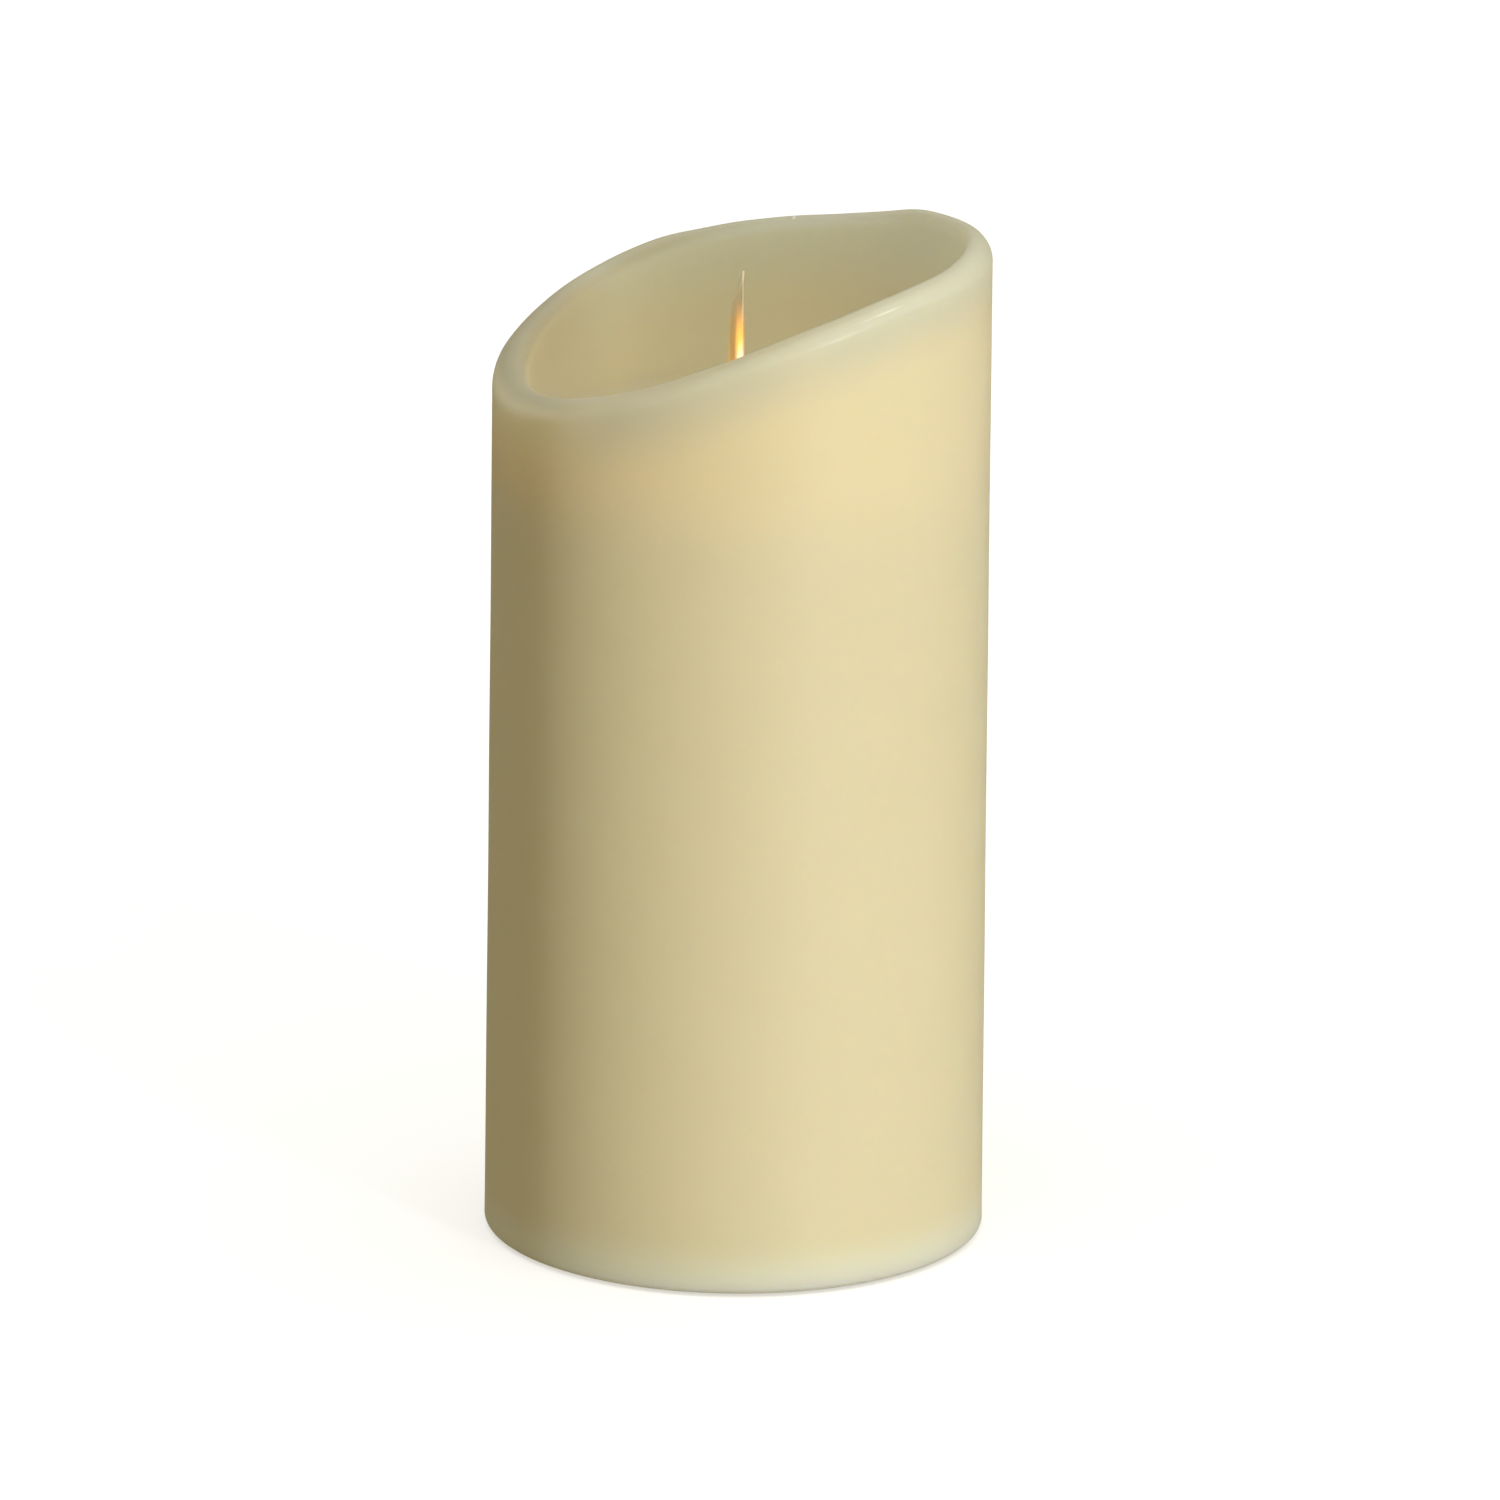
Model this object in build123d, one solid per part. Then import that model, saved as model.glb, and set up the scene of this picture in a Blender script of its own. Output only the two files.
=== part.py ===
"""Flameless pillar candle with a moving flame.

A hollow wax pillar with a slanted, melted-looking rim holds three assemblies:
a flame module that hangs under the wax floor of the well, a battery housing in
the base, and a round base cover with a hinged battery door and a slide switch.
The flame blade hangs on a bent steel wire. A magnet at its foot sits over a
drive coil, and a lamp in front of the blade shines up into its hollow side.

Frame: millimetres, +Z up, origin at the centre of the base where the feet
touch the surface. The low side of the rim, and the lamp, face -Y.
"""

from build123d import *
import math
import os

# ---------------------------------------------------------------- dimensions
# Wax pillar
WAX_R = 44.0
WAX_BOTTOM = 0.5
WAX_BORE_R = 37.0
WAX_BASE_BORE_R = 38.5
WAX_BASE_SHOULDER_Z = 5.2
WELL_FLOOR_Z = 142.0
WELL_FLOOR_THICK = 4.0
WELL_HOLE_R = 17.0
WELL_FLOOR_R = 36.4
WELL_TOP_R = 39.6
WELL_DRAFT_TOP_Z = 190.0
WELL_CORNER_R = 5.0
BASE_EDGE_R = 1.0
# Rim: mean height, then the waves once, twice and three times round the candle
RIM_MEAN = 171.4
RIM_LEAN_X, RIM_LEAN_Y = -0.1, 12.2
RIM_COS2, RIM_SIN2 = 1.3, 2.0
RIM_COS3, RIM_SIN3 = 0.25, -0.2
RIM_CREST_R = 41.0
RIM_FALL = 5.0
RIM_OUTER_ROUND = 1.7
RIM_INNER_ROUND = 1.3
RIM_GRID = 13
RIM_GRID_HALF = 50.0
RIM_CUT_HEIGHT = 70.0

# Base cover, battery door and feet
COVER_R, COVER_CHAMFER = 38.2, 0.4
COVER_Z0, COVER_Z1 = 0.9, 3.0
WINDOW_HALF_X, WINDOW_HALF_Y, WINDOW_TOP_Z = 5.0, 2.0, 2.1
MARK_Y, MARK_HEIGHT = -30.6, 0.2
DOOR_Z1 = 2.7
DOOR_END_X, DOOR_HALF_Y, DOOR_CORNER_R = 31.0, 15.5, 6.0
DOOR_GAP = 0.4
DOOR_FLARE_GAP = 0.8
HINGE_X, HINGE_Z, HINGE_R = -31.8, 2.7, 1.8
HINGE_HALF_Y = 11.2
HINGE_CLEAR = 0.1
SOCKET_SPANS = ((-10.0, -4.0), (4.0, 10.0))
SOCKET_BACK_X, SOCKET_LIP_X, SOCKET_WRAP, SOCKET_TOP_Z = 3.4, 2.5, 0.7, 6.0
DOOR_FLARE_X0, DOOR_FLARE_X1 = -29.4, -25.1
TONGUE_HALF_Y, TONGUE_ROOT_X, TONGUE_SLOT = 5.0, 19.0, 0.8
HOOK_DEPTH, HOOK_HALF_Y, HOOK_TOP_Z = 1.6, 4.4, 4.2
GRIP_X, GRIP_PITCH, GRIP_COUNT = 22.0, 2.0, 4
GRIP_WIDTH, GRIP_HALF_Y, GRIP_DEPTH = 0.8, 3.6, 0.4
ARROW_X, ARROW_SIZE, ARROW_DEPTH = 14.0, 3.0, 0.3
DOOR_RIB_X0, DOOR_RIB_X1, DOOR_RIB_Y = -22.0, 26.0, 9.0
DOOR_RIB_HALF, DOOR_RIB_HEIGHT = 0.6, 0.25
FOOT_R, FOOT_TOP, FOOT_ROUND, FOOT_POCKET_GAP = 3.5, 1.2, 0.3, 0.1
FOOT_X, FOOT_Y = 24.5, 21.5
BASE_SCREW_X, BASE_SCREW_Y, BASE_SEAT_Z = 14.0, 27.5, 2.15

# Screws: shank radius and length, head radius and height. Then the holes that
# they pass through, the pilot holes that they bite into, and where those end
BASE_SCREW, BASE_CLEAR_R, BASE_PILOT_R, BASE_SEAT_R = (1.3, 10.0, 2.6, 1.15), 1.5, 1.35, 2.8
MODULE_SCREW, MODULE_CLEAR_R, MODULE_PILOT_R, MODULE_PILOT_DEPTH = (1.0, 7.0, 2.2, 1.3), 1.3, 1.05, 3.3
CAP_SCREW, CAP_CLEAR_R, CAP_PILOT_R = (1.0, 5.4, 2.2, 1.3), 1.3, 1.05
BOARD_SCREW, BOARD_CLEAR_R, BOARD_PILOT_R, BOARD_PILOT_Z = (0.9, 5.6, 1.9, 1.1), 1.0, 0.95, 97.0

# Battery housing and cells
CELL_R, CELL_LENGTH, CELL_X = 13.1, 48.5, 14.0
CELL_Z = 7.0
CELL_NUB_R, CELL_NUB_H = 3.3, 1.5
CELL_END_R, CELL_CRIMP_R, CELL_RIM_R = 11.0, 11.3, 12.6
CELL_CRIMP, CELL_SHOULDER = 0.3, 0.5
BAY_R, BAY_WALL = 13.6, 1.8
BAY_WAIST_X, BAY_WAIST_Y = 8.0, 7.0
BAY_CEILING_Z, HOUSING_TOP_Z, HOUSING_ROUND = 60.0, 61.8, 1.0
FLANGE_TOP_Z = 5.0
BOSS_R, BOSS_TOP_Z, BOSS_PILOT_Z = 3.2, 14.0, 13.0
RIB_HALF, BOSS_RIB_TOP_Z, BOSS_RIB_INSET = 0.7, 13.0, 2.0
SIDE_RIB_X, SIDE_RIB_Y, SIDE_RIB_HALF_X, SIDE_RIB_TOP_Z, SIDE_RIB_R = 29.0, 12.6, 7.0, 8.0, 36.2
HINGE_ROOM_X, HINGE_ROOM_LIP, HINGE_ROOM_HALF_Y = 3.8, 0.3, 12.0
HOOK_ROOM_X0, HOOK_ROOM_X1, HOOK_ROOM_HALF_Y = 29.0, 32.0, 5.6
CLIP_HEIGHTS = (34.0, 50.0)
CLIP_HALF_X, CLIP_HALF_Z, CLIP_DEPTH, CLIP_OVERLAP = 3.0, 2.0, 4.0, 0.6
CLIP_ROOM_X, CLIP_ROOM_DEPTH, CLIP_MOUTH_X = 1.9, 3.0, 0.9
CONTACT_THICK = 0.4
CONTACT_HALF_X, CONTACT_HALF_Y, CONTACT_HOLE_R = 6.0, 6.2, 4.0
TAB_HALF_X, TAB_TOP_Z = 2.0, 65.0
TAB_SLOT_X, TAB_SLOT_Y0, TAB_SLOT_Y1 = 2.3, 5.4, 6.6
DIMPLE_TIP_R, DIMPLE_FOOT_R, DIMPLE_TIP_INNER_R, DIMPLE_FOOT_INNER_R = 3.3, 4.9, 3.0, 4.4
STRIP_LENGTH, STRIP_WIDTH = 42.0, 11.0
SPRING_WIRE_R = 0.4
SPRING_WIDE_R, SPRING_NARROW_R, SPRING_TURNS, SPRING_INTO_CELL = 5.2, 3.0, 2.5, 0.3

# Power switch
SWITCH_Y = -26.0
SWITCH_ON_X = 2.0
SWITCH_SLOT_X, SWITCH_SLOT_Y = 3.4, 1.3
SWITCH_PIN_PITCH, SWITCH_PIN_TOP, SWITCH_PIN_X, SWITCH_PIN_Y = 2.5, 13.0, 0.5, 0.2
SWITCH_BODY_X, SWITCH_BODY_Y, SWITCH_BODY_TOP, SWITCH_BODY_ROUND = 6.5, 3.0, 10.5, 0.5
SWITCH_EAR_X, SWITCH_EAR_Y, SWITCH_EAR_THICK, SWITCH_ROOM_TOP = 9.0, 2.0, 0.6, 7.2
KNOB_HALF_X, KNOB_HALF_Y, KNOB_Z0, KNOB_Z1, KNOB_ROUND = 2.5, 1.6, 0.65, 1.95, 0.6
KNOB_GROOVES, KNOB_GROOVE_WIDTH, KNOB_GROOVE_DEPTH = (-1.6, -0.2, 1.2), 0.5, 0.35
STEM_HALF_X, STEM_HALF_Y, STEM_Z0, STEM_Z1 = 1.1, 1.0, 1.9, 7.0

# Flame module
MODULE_X, MODULE_Y, MODULE_WALL = 11.0, 13.5, 1.6
MODULE_Z0, MODULE_TOP = 94.0, 138.0
MODULE_FLANGE_R, MODULE_FLANGE_THICK = 20.0, 2.0
MODULE_CORNER_R, MODULE_ROOM_R = 2.5, 1.0
EAR_Y, EAR_R, EAR_HALF_X = 16.5, 3.0, 4.0
EAR_HEIGHTS = (104.0, 129.0)
BOARD_Z0, BOARD_Z1 = 91.0, 92.4
BOARD_SCREW_X, BOARD_SCREW_Y = 8.0, 10.8
POST_R, POST_TOP_Z = 2.2, 98.0
COIL_HOLE_GAP, LEG_SLOT_X, LEG_SLOT_Y = 0.4, 2.4, 0.9
WIRE_HOLE_R, WIRE_HOLE_DROP = 0.6, 0.1
CAP_SCREW_X = 14.2
CAP_R, CAP_THICK = 21.0, 1.6
CAP_SKIRT_R, CAP_SKIRT_WALL = 16.8, 1.6
CAP_OPEN_X, CAP_OPEN_Y, CAP_OPEN_CENTRE_Y = 9.5, 8.5, -2.5
CAP_LIP, CAP_LIP_H = 1.5, 1.0
CAP_ROUND, CAP_LIP_ROUND, CAP_BOSS_R = 0.8, 0.6, 2.4

# Drive coil
COIL_FLANGE_R, COIL_HUB_R, COIL_BORE_R = 7.0, 3.0, 1.4
COIL_TOP_Z, COIL_FLANGE_THICK = 100.0, 0.8
COIL_WINDING_R = 6.6

# Flame blade
PIVOT_Z = 122.0
WIRE_R, WIRE_HALF_Y, WIRE_END_Z, WIRE_BEND_R = 0.35, 13.2, 123.5, 20.0
EYE_R, EYE_DROP = 0.9, 0.45
BLADE_THICK, BLADE_CURVE_R, BLADE_BELLY_Y = 1.0, 8.0, 0.4
MAGNET_R, MAGNET_Z0, MAGNET_Z1 = 3.95, 102.0, 105.0
MAGNET_FIT = 0.05
CUP_R, CUP_LIP, CUP_TOP_Z = 4.7, 0.5, 106.2
FLAME_TIP, LEAN_FROM_Z = (0.7, 176.2), 150.0
# The tip thins from its hollow side: the bevel's lower and upper points in Y and Z
BEVEL_LOW, BEVEL_HIGH = (-1.6, 171.3), (0.15, 176.5)
# Blade half-widths by height, for the stem and the flame above it
BLADE_WIDTHS = (
    (106.0, 3.2), (118.0, 3.2), (122.0, 3.6), (128.0, 3.3), (138.0, 3.4), (144.0, 4.0), (150.0, 4.4),
    (156.0, 4.6), (160.0, 4.62), (164.0, 4.5), (168.0, 4.15), (171.6, 3.35), (174.6, 1.8),
)

# Lamp: where its base sits, its lean back towards the blade, and a 5 mm body
LAMP_BASE_Y, LAMP_BASE_Z, LAMP_LEAN = -8.4, 128.5, 22.0
LAMP_R, LAMP_FLANGE_R, LAMP_FLANGE_H, LAMP_BARREL_H = 2.5, 2.9, 1.0, 5.1
LAMP_HOLDER_R, LAMP_HOLDER_H = 3.7, 4.5
LAMP_FIT, LAMP_SHELF_CUT = 0.05, 4.0
LAMP_LEG_X, LAMP_LEG_R, LAMP_LEG_Y, LAMP_LEG_BEND = 1.27, 0.25, -10.65, 2.0
LAMP_SHELF_Y, LAMP_SHELF_Z0, LAMP_SHELF_Z1 = -2.2, 129.6, 132.4

# Board parts, which hang below the board
CHIP_HALF_X, CHIP_HALF_Y, CHIP_THICK, CHIP_LIFT, CHIP_Y = 2.5, 2.0, 1.5, 0.1, -1.0
CHIP_LEGS_A_SIDE, CHIP_LEG_PITCH, CHIP_LEG_HALF_X, CHIP_LEG_REACH, CHIP_LEG_THICK = 4, 1.27, 0.2, 3.0, 0.25
CAPACITOR_R, CAPACITOR_BASE_R, CAPACITOR_LENGTH, CAPACITOR_Y = 2.5, 2.1, 7.0, 6.5
RESISTOR_PLACES = [(x, y) for x in (-7.5, 6.5) for y in (-4.5, -1.5, 1.5)]
RESISTOR_HALF_X, RESISTOR_HALF_Y, RESISTOR_THICK = 1.0, 0.6, 0.6
DIODE_X0, DIODE_X1, DIODE_Y0, DIODE_Y1, DIODE_THICK = -5.6, -2.7, 4.0, 5.3, 1.0

# Leads, and where they meet the board
LEAD_R = 0.7
LEAD_PADS = {
    "positive": (-7.0, 6.0),
    "negative": (7.0, 6.0),
    "switch_a": (-1.1, -8.0),
    "switch_b": (1.1, -8.0),
}
SOLDER_TIP_R, SOLDER_FOOT_R, SOLDER_HEIGHT = 0.8, 1.05, 0.9
TAB_LEAD_Y, TAB_LEAD_Z = 6.9, 62.4
POSITIVE_TURN_Z, NEGATIVE_TURN_Z = 69.0, 71.0
POSITIVE_PAD_RUN_Z, NEGATIVE_PAD_RUN_Z, SWITCH_PAD_RUN_Z = 82.0, 80.0, 80.0
SWITCH_LEAD_X, SWITCH_LEAD_WALL_GAP = 0.95, 1.5
PIN_RUN_Z, WALL_RUN_Z0, WALL_RUN_Z1 = 18.0, 29.0, 62.0
ON_CORNERS = ((1, 1), (-1, 1), (-1, -1), (1, -1))
BOTTOM = (Align.CENTER, Align.CENTER, Align.MIN)


# ------------------------------------------------------------------- helpers
def rod(radius, z0, z1, x=0.0, y=0.0):
    """An upright cylinder between two heights."""
    return Pos(x, y, z0) * Cylinder(radius, z1 - z0, align=BOTTOM)


def block(x0, x1, y0, y1, z0, z1):
    """A box between its low and high corners."""
    return Pos((x0 + x1) / 2, (y0 + y1) / 2, z0) * Box(x1 - x0, y1 - y0, z1 - z0, align=BOTTOM)


def ring(outer, inner, z0, z1, x=0.0, y=0.0):
    """An upright tube."""
    return rod(outer, z0, z1, x, y) - rod(inner, z0, z1, x, y)


def cross_rod(radius, y0, y1, x, z):
    """A cylinder along Y."""
    return Pos(x, (y0 + y1) / 2, z) * Rot(90, 0, 0) * Cylinder(radius, y1 - y0)


def side_rod(radius, x0, x1, y, z):
    """A cylinder along X."""
    return Pos((x0 + x1) / 2, y, z) * Rot(0, 90, 0) * Cylinder(radius, x1 - x0)


def prism(points, z0, z1):
    """An upright prism on a closed outline of (x, y) points."""
    return Pos(0, 0, z0) * extrude(make_face(Polyline(*points, close=True)), z1 - z0)


def turned(points):
    """A solid turned about the Z axis from a closed half-section of (radius, z) points."""
    outline = Polyline(*[(r, 0, z) for r, z in points], close=True)
    return revolve(make_face(outline), Axis.Z)


def tube_along(points, radii, wire_r):
    """A round wire or lead: straight runs joined by tangent arcs."""
    path = FilletPolyline(*points, radius=radii)
    start = Plane(path @ 0, z_dir=path % 0)
    return sweep(start * Circle(wire_r), path=path)


def largest_radii(points):
    """The largest arc at each corner of a route: 0.45 of the shorter run over tan(half the turn)."""
    radii = []
    for before, corner, after in zip(points, points[1:], points[2:]):
        run_in, run_out = Vector(*corner) - Vector(*before), Vector(*after) - Vector(*corner)
        half_turn = math.radians(run_in.get_angle(run_out) / 2)
        radii.append(0.45 * min(run_in.length, run_out.length) / math.tan(half_turn))
    return radii


def lead(name, points, wire_r=LEAD_R):
    """An insulated lead along a route, with its arc radii printed."""
    radii = largest_radii(points)
    print(name, "arc radii", [round(r, 1) for r in radii])
    return tube_along(points, radii, wire_r)


def coil_spring(x, z0, z1):
    """A conical battery spring, wide at its lower end, swept a quarter turn at a time."""
    wide_r, narrow_r = SPRING_WIDE_R, SPRING_NARROW_R
    sweep_angle = 2 * math.pi * SPRING_TURNS
    height = z1 - z0 - 2 * SPRING_WIRE_R

    def point(share):
        angle, r = sweep_angle * share, wide_r + (narrow_r - wide_r) * share
        return (r * math.cos(angle), r * math.sin(angle), z0 + SPRING_WIRE_R + height * share)

    def tangent(share):
        angle, r = sweep_angle * share, wide_r + (narrow_r - wide_r) * share
        inward = (narrow_r - wide_r) / sweep_angle
        cos, sin = math.cos(angle), math.sin(angle)
        along = (inward * cos - r * sin, inward * sin + r * cos)
        return (*along, height / sweep_angle)

    quarters = round(4 * SPRING_TURNS)
    edges = []
    for i in range(quarters):
        first, middle, last = i / quarters, (i + 0.5) / quarters, (i + 1) / quarters
        ends = (tangent(first), tangent(last))
        edges.append(Spline(point(first), point(middle), point(last), tangents=ends))
    path = Wire(edges)
    start = Plane(origin=path @ 0, x_dir=(0, 0, 1), z_dir=path % 0)
    return Pos(x, 0, 0) * sweep(start * Circle(SPRING_WIRE_R), path=path)


def screw(shank_r, shank_length, head_r, head_h):
    """A pan-head screw with a cross recess, its head below z = 0 and its shank up +Z."""
    head = fillet(rod(head_r, -head_h, 0).edges().group_by(Axis.Z)[0], head_h * 0.35)
    tip_h = shank_r
    shank = rod(shank_r, 0, shank_length - tip_h)
    tip = Pos(0, 0, shank_length - tip_h) * Cone(shank_r, shank_r * 0.3, tip_h, align=BOTTOM)
    arm, width, depth = head_r * 0.55, head_r * 0.13, head_h * 0.6
    recess = block(-arm, arm, -width, width, -head_h, depth - head_h)
    recess += block(-width, width, -arm, arm, -head_h, depth - head_h)
    return head + shank + tip - recess


def group(pieces):
    """Separate solids of one kind, kept in one node."""
    return Compound([solid for piece in pieces for solid in piece.solids()])


# ---------------------------------------------------------------- wax pillar
def rim_height(x, y):
    """Height of the rim surface over a point: a lean, two waves and a fall towards the outer edge.

    Each wave keeps its full height across the width of the rim and dies away towards the centre.
    """
    u, v = x / RIM_CREST_R, y / RIM_CREST_R
    square = u * u + v * v
    wave = (RIM_LEAN_X * u + RIM_LEAN_Y * v) / (1 + square)
    wave += (RIM_COS2 * (u * u - v * v) + RIM_SIN2 * 2 * u * v) / (1 + square**2)
    wave += (RIM_COS3 * (u**3 - 3 * u * v * v) + RIM_SIN3 * (3 * u * u * v - v**3)) / (1 + square**3)
    return RIM_MEAN + 2 * wave - RIM_FALL * (square - 1)


def above_rim():
    """Everything above the rim surface, as a cutting block."""
    steps = [RIM_GRID_HALF * (2 * i / (RIM_GRID - 1) - 1) for i in range(RIM_GRID)]
    grid = [[Vector(x, y, rim_height(x, y)) for y in steps] for x in steps]
    surface = Face.make_surface_from_array_of_points(grid, tol=0.01)
    return extrude(surface, amount=RIM_CUT_HEIGHT, dir=(0, 0, 1))


def wax_shell():
    """Hollow pillar with a drafted well above a floor, and a stepped bore below it."""
    floor_under = WELL_FLOOR_Z - WELL_FLOOR_THICK
    section = make_face(Polyline(
        (WAX_R, 0, WAX_BOTTOM), (WAX_R, 0, WELL_DRAFT_TOP_Z), (WELL_TOP_R, 0, WELL_DRAFT_TOP_Z),
        (WELL_FLOOR_R, 0, WELL_FLOOR_Z), (WELL_HOLE_R, 0, WELL_FLOOR_Z), (WELL_HOLE_R, 0, floor_under),
        (WAX_BORE_R, 0, floor_under), (WAX_BORE_R, 0, WAX_BASE_SHOULDER_Z),
        (WAX_BASE_BORE_R, 0, WAX_BASE_SHOULDER_Z), (WAX_BASE_BORE_R, 0, WAX_BOTTOM), close=True,
    ))
    section = fillet(section.vertices().filter_by(lambda v: (v.X, v.Z) == (WAX_R, WAX_BOTTOM)), BASE_EDGE_R)
    foot = Vector(WELL_FLOOR_R, 0, WELL_FLOOR_Z)
    corner = section.vertices().sort_by_distance(foot)[0:1]
    section = fillet(corner, WELL_CORNER_R)
    shell = revolve(section, Axis.Z) - above_rim()
    rim = shell.faces().sort_by(lambda f: f.center().Z)[-1]
    inner_edge, outer_edge = rim.edges().sort_by(lambda e: e.length)
    shell = fillet(outer_edge, RIM_OUTER_ROUND)
    length = inner_edge.length
    inner_edge = shell.edges().sort_by(lambda e: abs(e.length - length) + abs(e.center().Z - RIM_MEAN))[0]
    return fillet(inner_edge, RIM_INNER_ROUND)


# ---------------------------------------------------------------- base parts
def door_outline(gap, flare_gap):
    """The battery door's outline from its hinge end to its latch end, grown by a gap."""
    slope = flare_gap * (math.sqrt(2) - 1)
    half_y, end_x = DOOR_HALF_Y + gap, DOOR_END_X + gap
    side = [
        (HINGE_X, HINGE_HALF_Y + gap),
        (DOOR_FLARE_X0 - flare_gap + slope, HINGE_HALF_Y + gap),
        (DOOR_FLARE_X1 - flare_gap - slope + gap, half_y),
        (end_x, half_y),
    ]
    return side + [(x, -y) for x, y in reversed(side)]


def door_prism(gap, flare_gap, z0, z1):
    """The battery door's plan shape between two heights, with its latch-end corners rounded."""
    plate = prism(door_outline(gap, flare_gap), z0, z1)
    ends = [e for e in plate.edges().filter_by(Axis.Z) if e.center().X > DOOR_END_X - 0.1]
    return fillet(ends, DOOR_CORNER_R)


def position_marks():
    """Raised bar, ring and dial beside the switch, for on, off and timer."""
    z0, z1 = COVER_Z0 - MARK_HEIGHT, COVER_Z0
    outer, inner, line = 0.9, 0.6, 0.24
    pitch = 2 * SWITCH_ON_X
    bar = block(pitch - line, pitch + line, MARK_Y - outer, MARK_Y + outer, z0, z1)
    off = ring(outer, inner, z0, z1, 0, MARK_Y)
    dial = ring(outer, inner, z0, z1, -pitch, MARK_Y)
    hands = block(-line / 2, line / 2, 0, inner, z0, z1) + block(0, inner, -line / 2, line / 2, z0, z1)
    return bar + off + dial + Pos(-pitch, MARK_Y, 0) * hands


def switch_slot(z0, z1):
    """The slot that the switch's stem slides in, between two heights."""
    return Pos(0, SWITCH_Y, 0) * block(-SWITCH_SLOT_X, SWITCH_SLOT_X, -SWITCH_SLOT_Y, SWITCH_SLOT_Y, z0, z1)


def base_cover():
    """Round cover that closes the wax bore, with the door opening, hinge sockets and switch window."""
    cover = chamfer(rod(COVER_R, COVER_Z0, COVER_Z1).edges().group_by(Axis.Z)[0], COVER_CHAMFER)
    cover -= door_prism(DOOR_GAP, DOOR_FLARE_GAP, COVER_Z0, COVER_Z1)
    hinge_room = HINGE_HALF_Y + DOOR_GAP
    cover -= block(HINGE_X - HINGE_R - HINGE_CLEAR, HINGE_X, -hinge_room, hinge_room, COVER_Z0, COVER_Z1)
    for y0, y1 in SOCKET_SPANS:
        x0, x1 = HINGE_X - SOCKET_BACK_X, HINGE_X + SOCKET_LIP_X
        socket = block(x0, x1, y0, y1, HINGE_Z - SOCKET_WRAP, SOCKET_TOP_Z)
        cover += socket - cross_rod(HINGE_R + HINGE_CLEAR, y0, y1, HINGE_X, HINGE_Z)
    cover -= Pos(0, SWITCH_Y, 0) * block(
        -WINDOW_HALF_X, WINDOW_HALF_X, -WINDOW_HALF_Y, WINDOW_HALF_Y, COVER_Z0, WINDOW_TOP_Z)
    cover -= switch_slot(WINDOW_TOP_Z, COVER_Z1)
    for sx, sy in ON_CORNERS:
        cover -= rod(BASE_SEAT_R, COVER_Z0, BASE_SEAT_Z, sx * BASE_SCREW_X, sy * BASE_SCREW_Y)
        cover -= rod(BASE_CLEAR_R, BASE_SEAT_Z, COVER_Z1, sx * BASE_SCREW_X, sy * BASE_SCREW_Y)
        cover -= rod(FOOT_R + FOOT_POCKET_GAP, COVER_Z0, FOOT_TOP, sx * FOOT_X, sy * FOOT_Y)
    return cover + position_marks()


def battery_door():
    """Flat door with a rolled hinge edge, a springy latch tongue and grip grooves."""
    door = door_prism(0, 0, COVER_Z0, DOOR_Z1)
    side_gap, lip_gap, gap_depth = 0.3, 0.9, 1.0
    for y0, y1 in SOCKET_SPANS:
        x1 = HINGE_X + SOCKET_LIP_X + lip_gap
        door -= block(HINGE_X, x1, y0 - side_gap, y1 + side_gap, HINGE_Z - gap_depth, DOOR_Z1)
    door += cross_rod(HINGE_R, -HINGE_HALF_Y, HINGE_HALF_Y, HINGE_X, HINGE_Z)
    for side in (-1, 1):
        y0, y1 = sorted((side * TONGUE_HALF_Y, side * (TONGUE_HALF_Y + TONGUE_SLOT)))
        door -= block(TONGUE_ROOT_X, DOOR_END_X, y0, y1, COVER_Z0, DOOR_Z1)
    door += block(DOOR_END_X - HOOK_DEPTH, DOOR_END_X, -HOOK_HALF_Y, HOOK_HALF_Y, DOOR_Z1, HOOK_TOP_Z)
    for i in range(GRIP_COUNT):
        x = GRIP_X + GRIP_PITCH * i
        door -= block(x, x + GRIP_WIDTH, -GRIP_HALF_Y, GRIP_HALF_Y, COVER_Z0, COVER_Z0 + GRIP_DEPTH)
    for y in (-DOOR_RIB_Y, DOOR_RIB_Y):
        top = DOOR_Z1 + DOOR_RIB_HEIGHT
        door += block(DOOR_RIB_X0, DOOR_RIB_X1, y - DOOR_RIB_HALF, y + DOOR_RIB_HALF, DOOR_Z1, top)
    arrow = [(ARROW_X, -ARROW_SIZE), (ARROW_X + ARROW_SIZE, 0.0), (ARROW_X, ARROW_SIZE)]
    return door - prism(arrow, COVER_Z0, COVER_Z0 + ARROW_DEPTH)


def rubber_feet():
    """Four round pads in shallow pockets of the cover."""
    pad = fillet(rod(FOOT_R, 0, FOOT_TOP).edges().group_by(Axis.Z)[0], FOOT_ROUND)
    return group([Pos(sx * FOOT_X, sy * FOOT_Y, 0) * pad for sx, sy in ON_CORNERS])


def base_screws():
    """Four screws up through the cover into the housing bosses."""
    one = screw(*BASE_SCREW)
    return group([Pos(sx * BASE_SCREW_X, sy * BASE_SCREW_Y, BASE_SEAT_Z) * one for sx, sy in ON_CORNERS])


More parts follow.
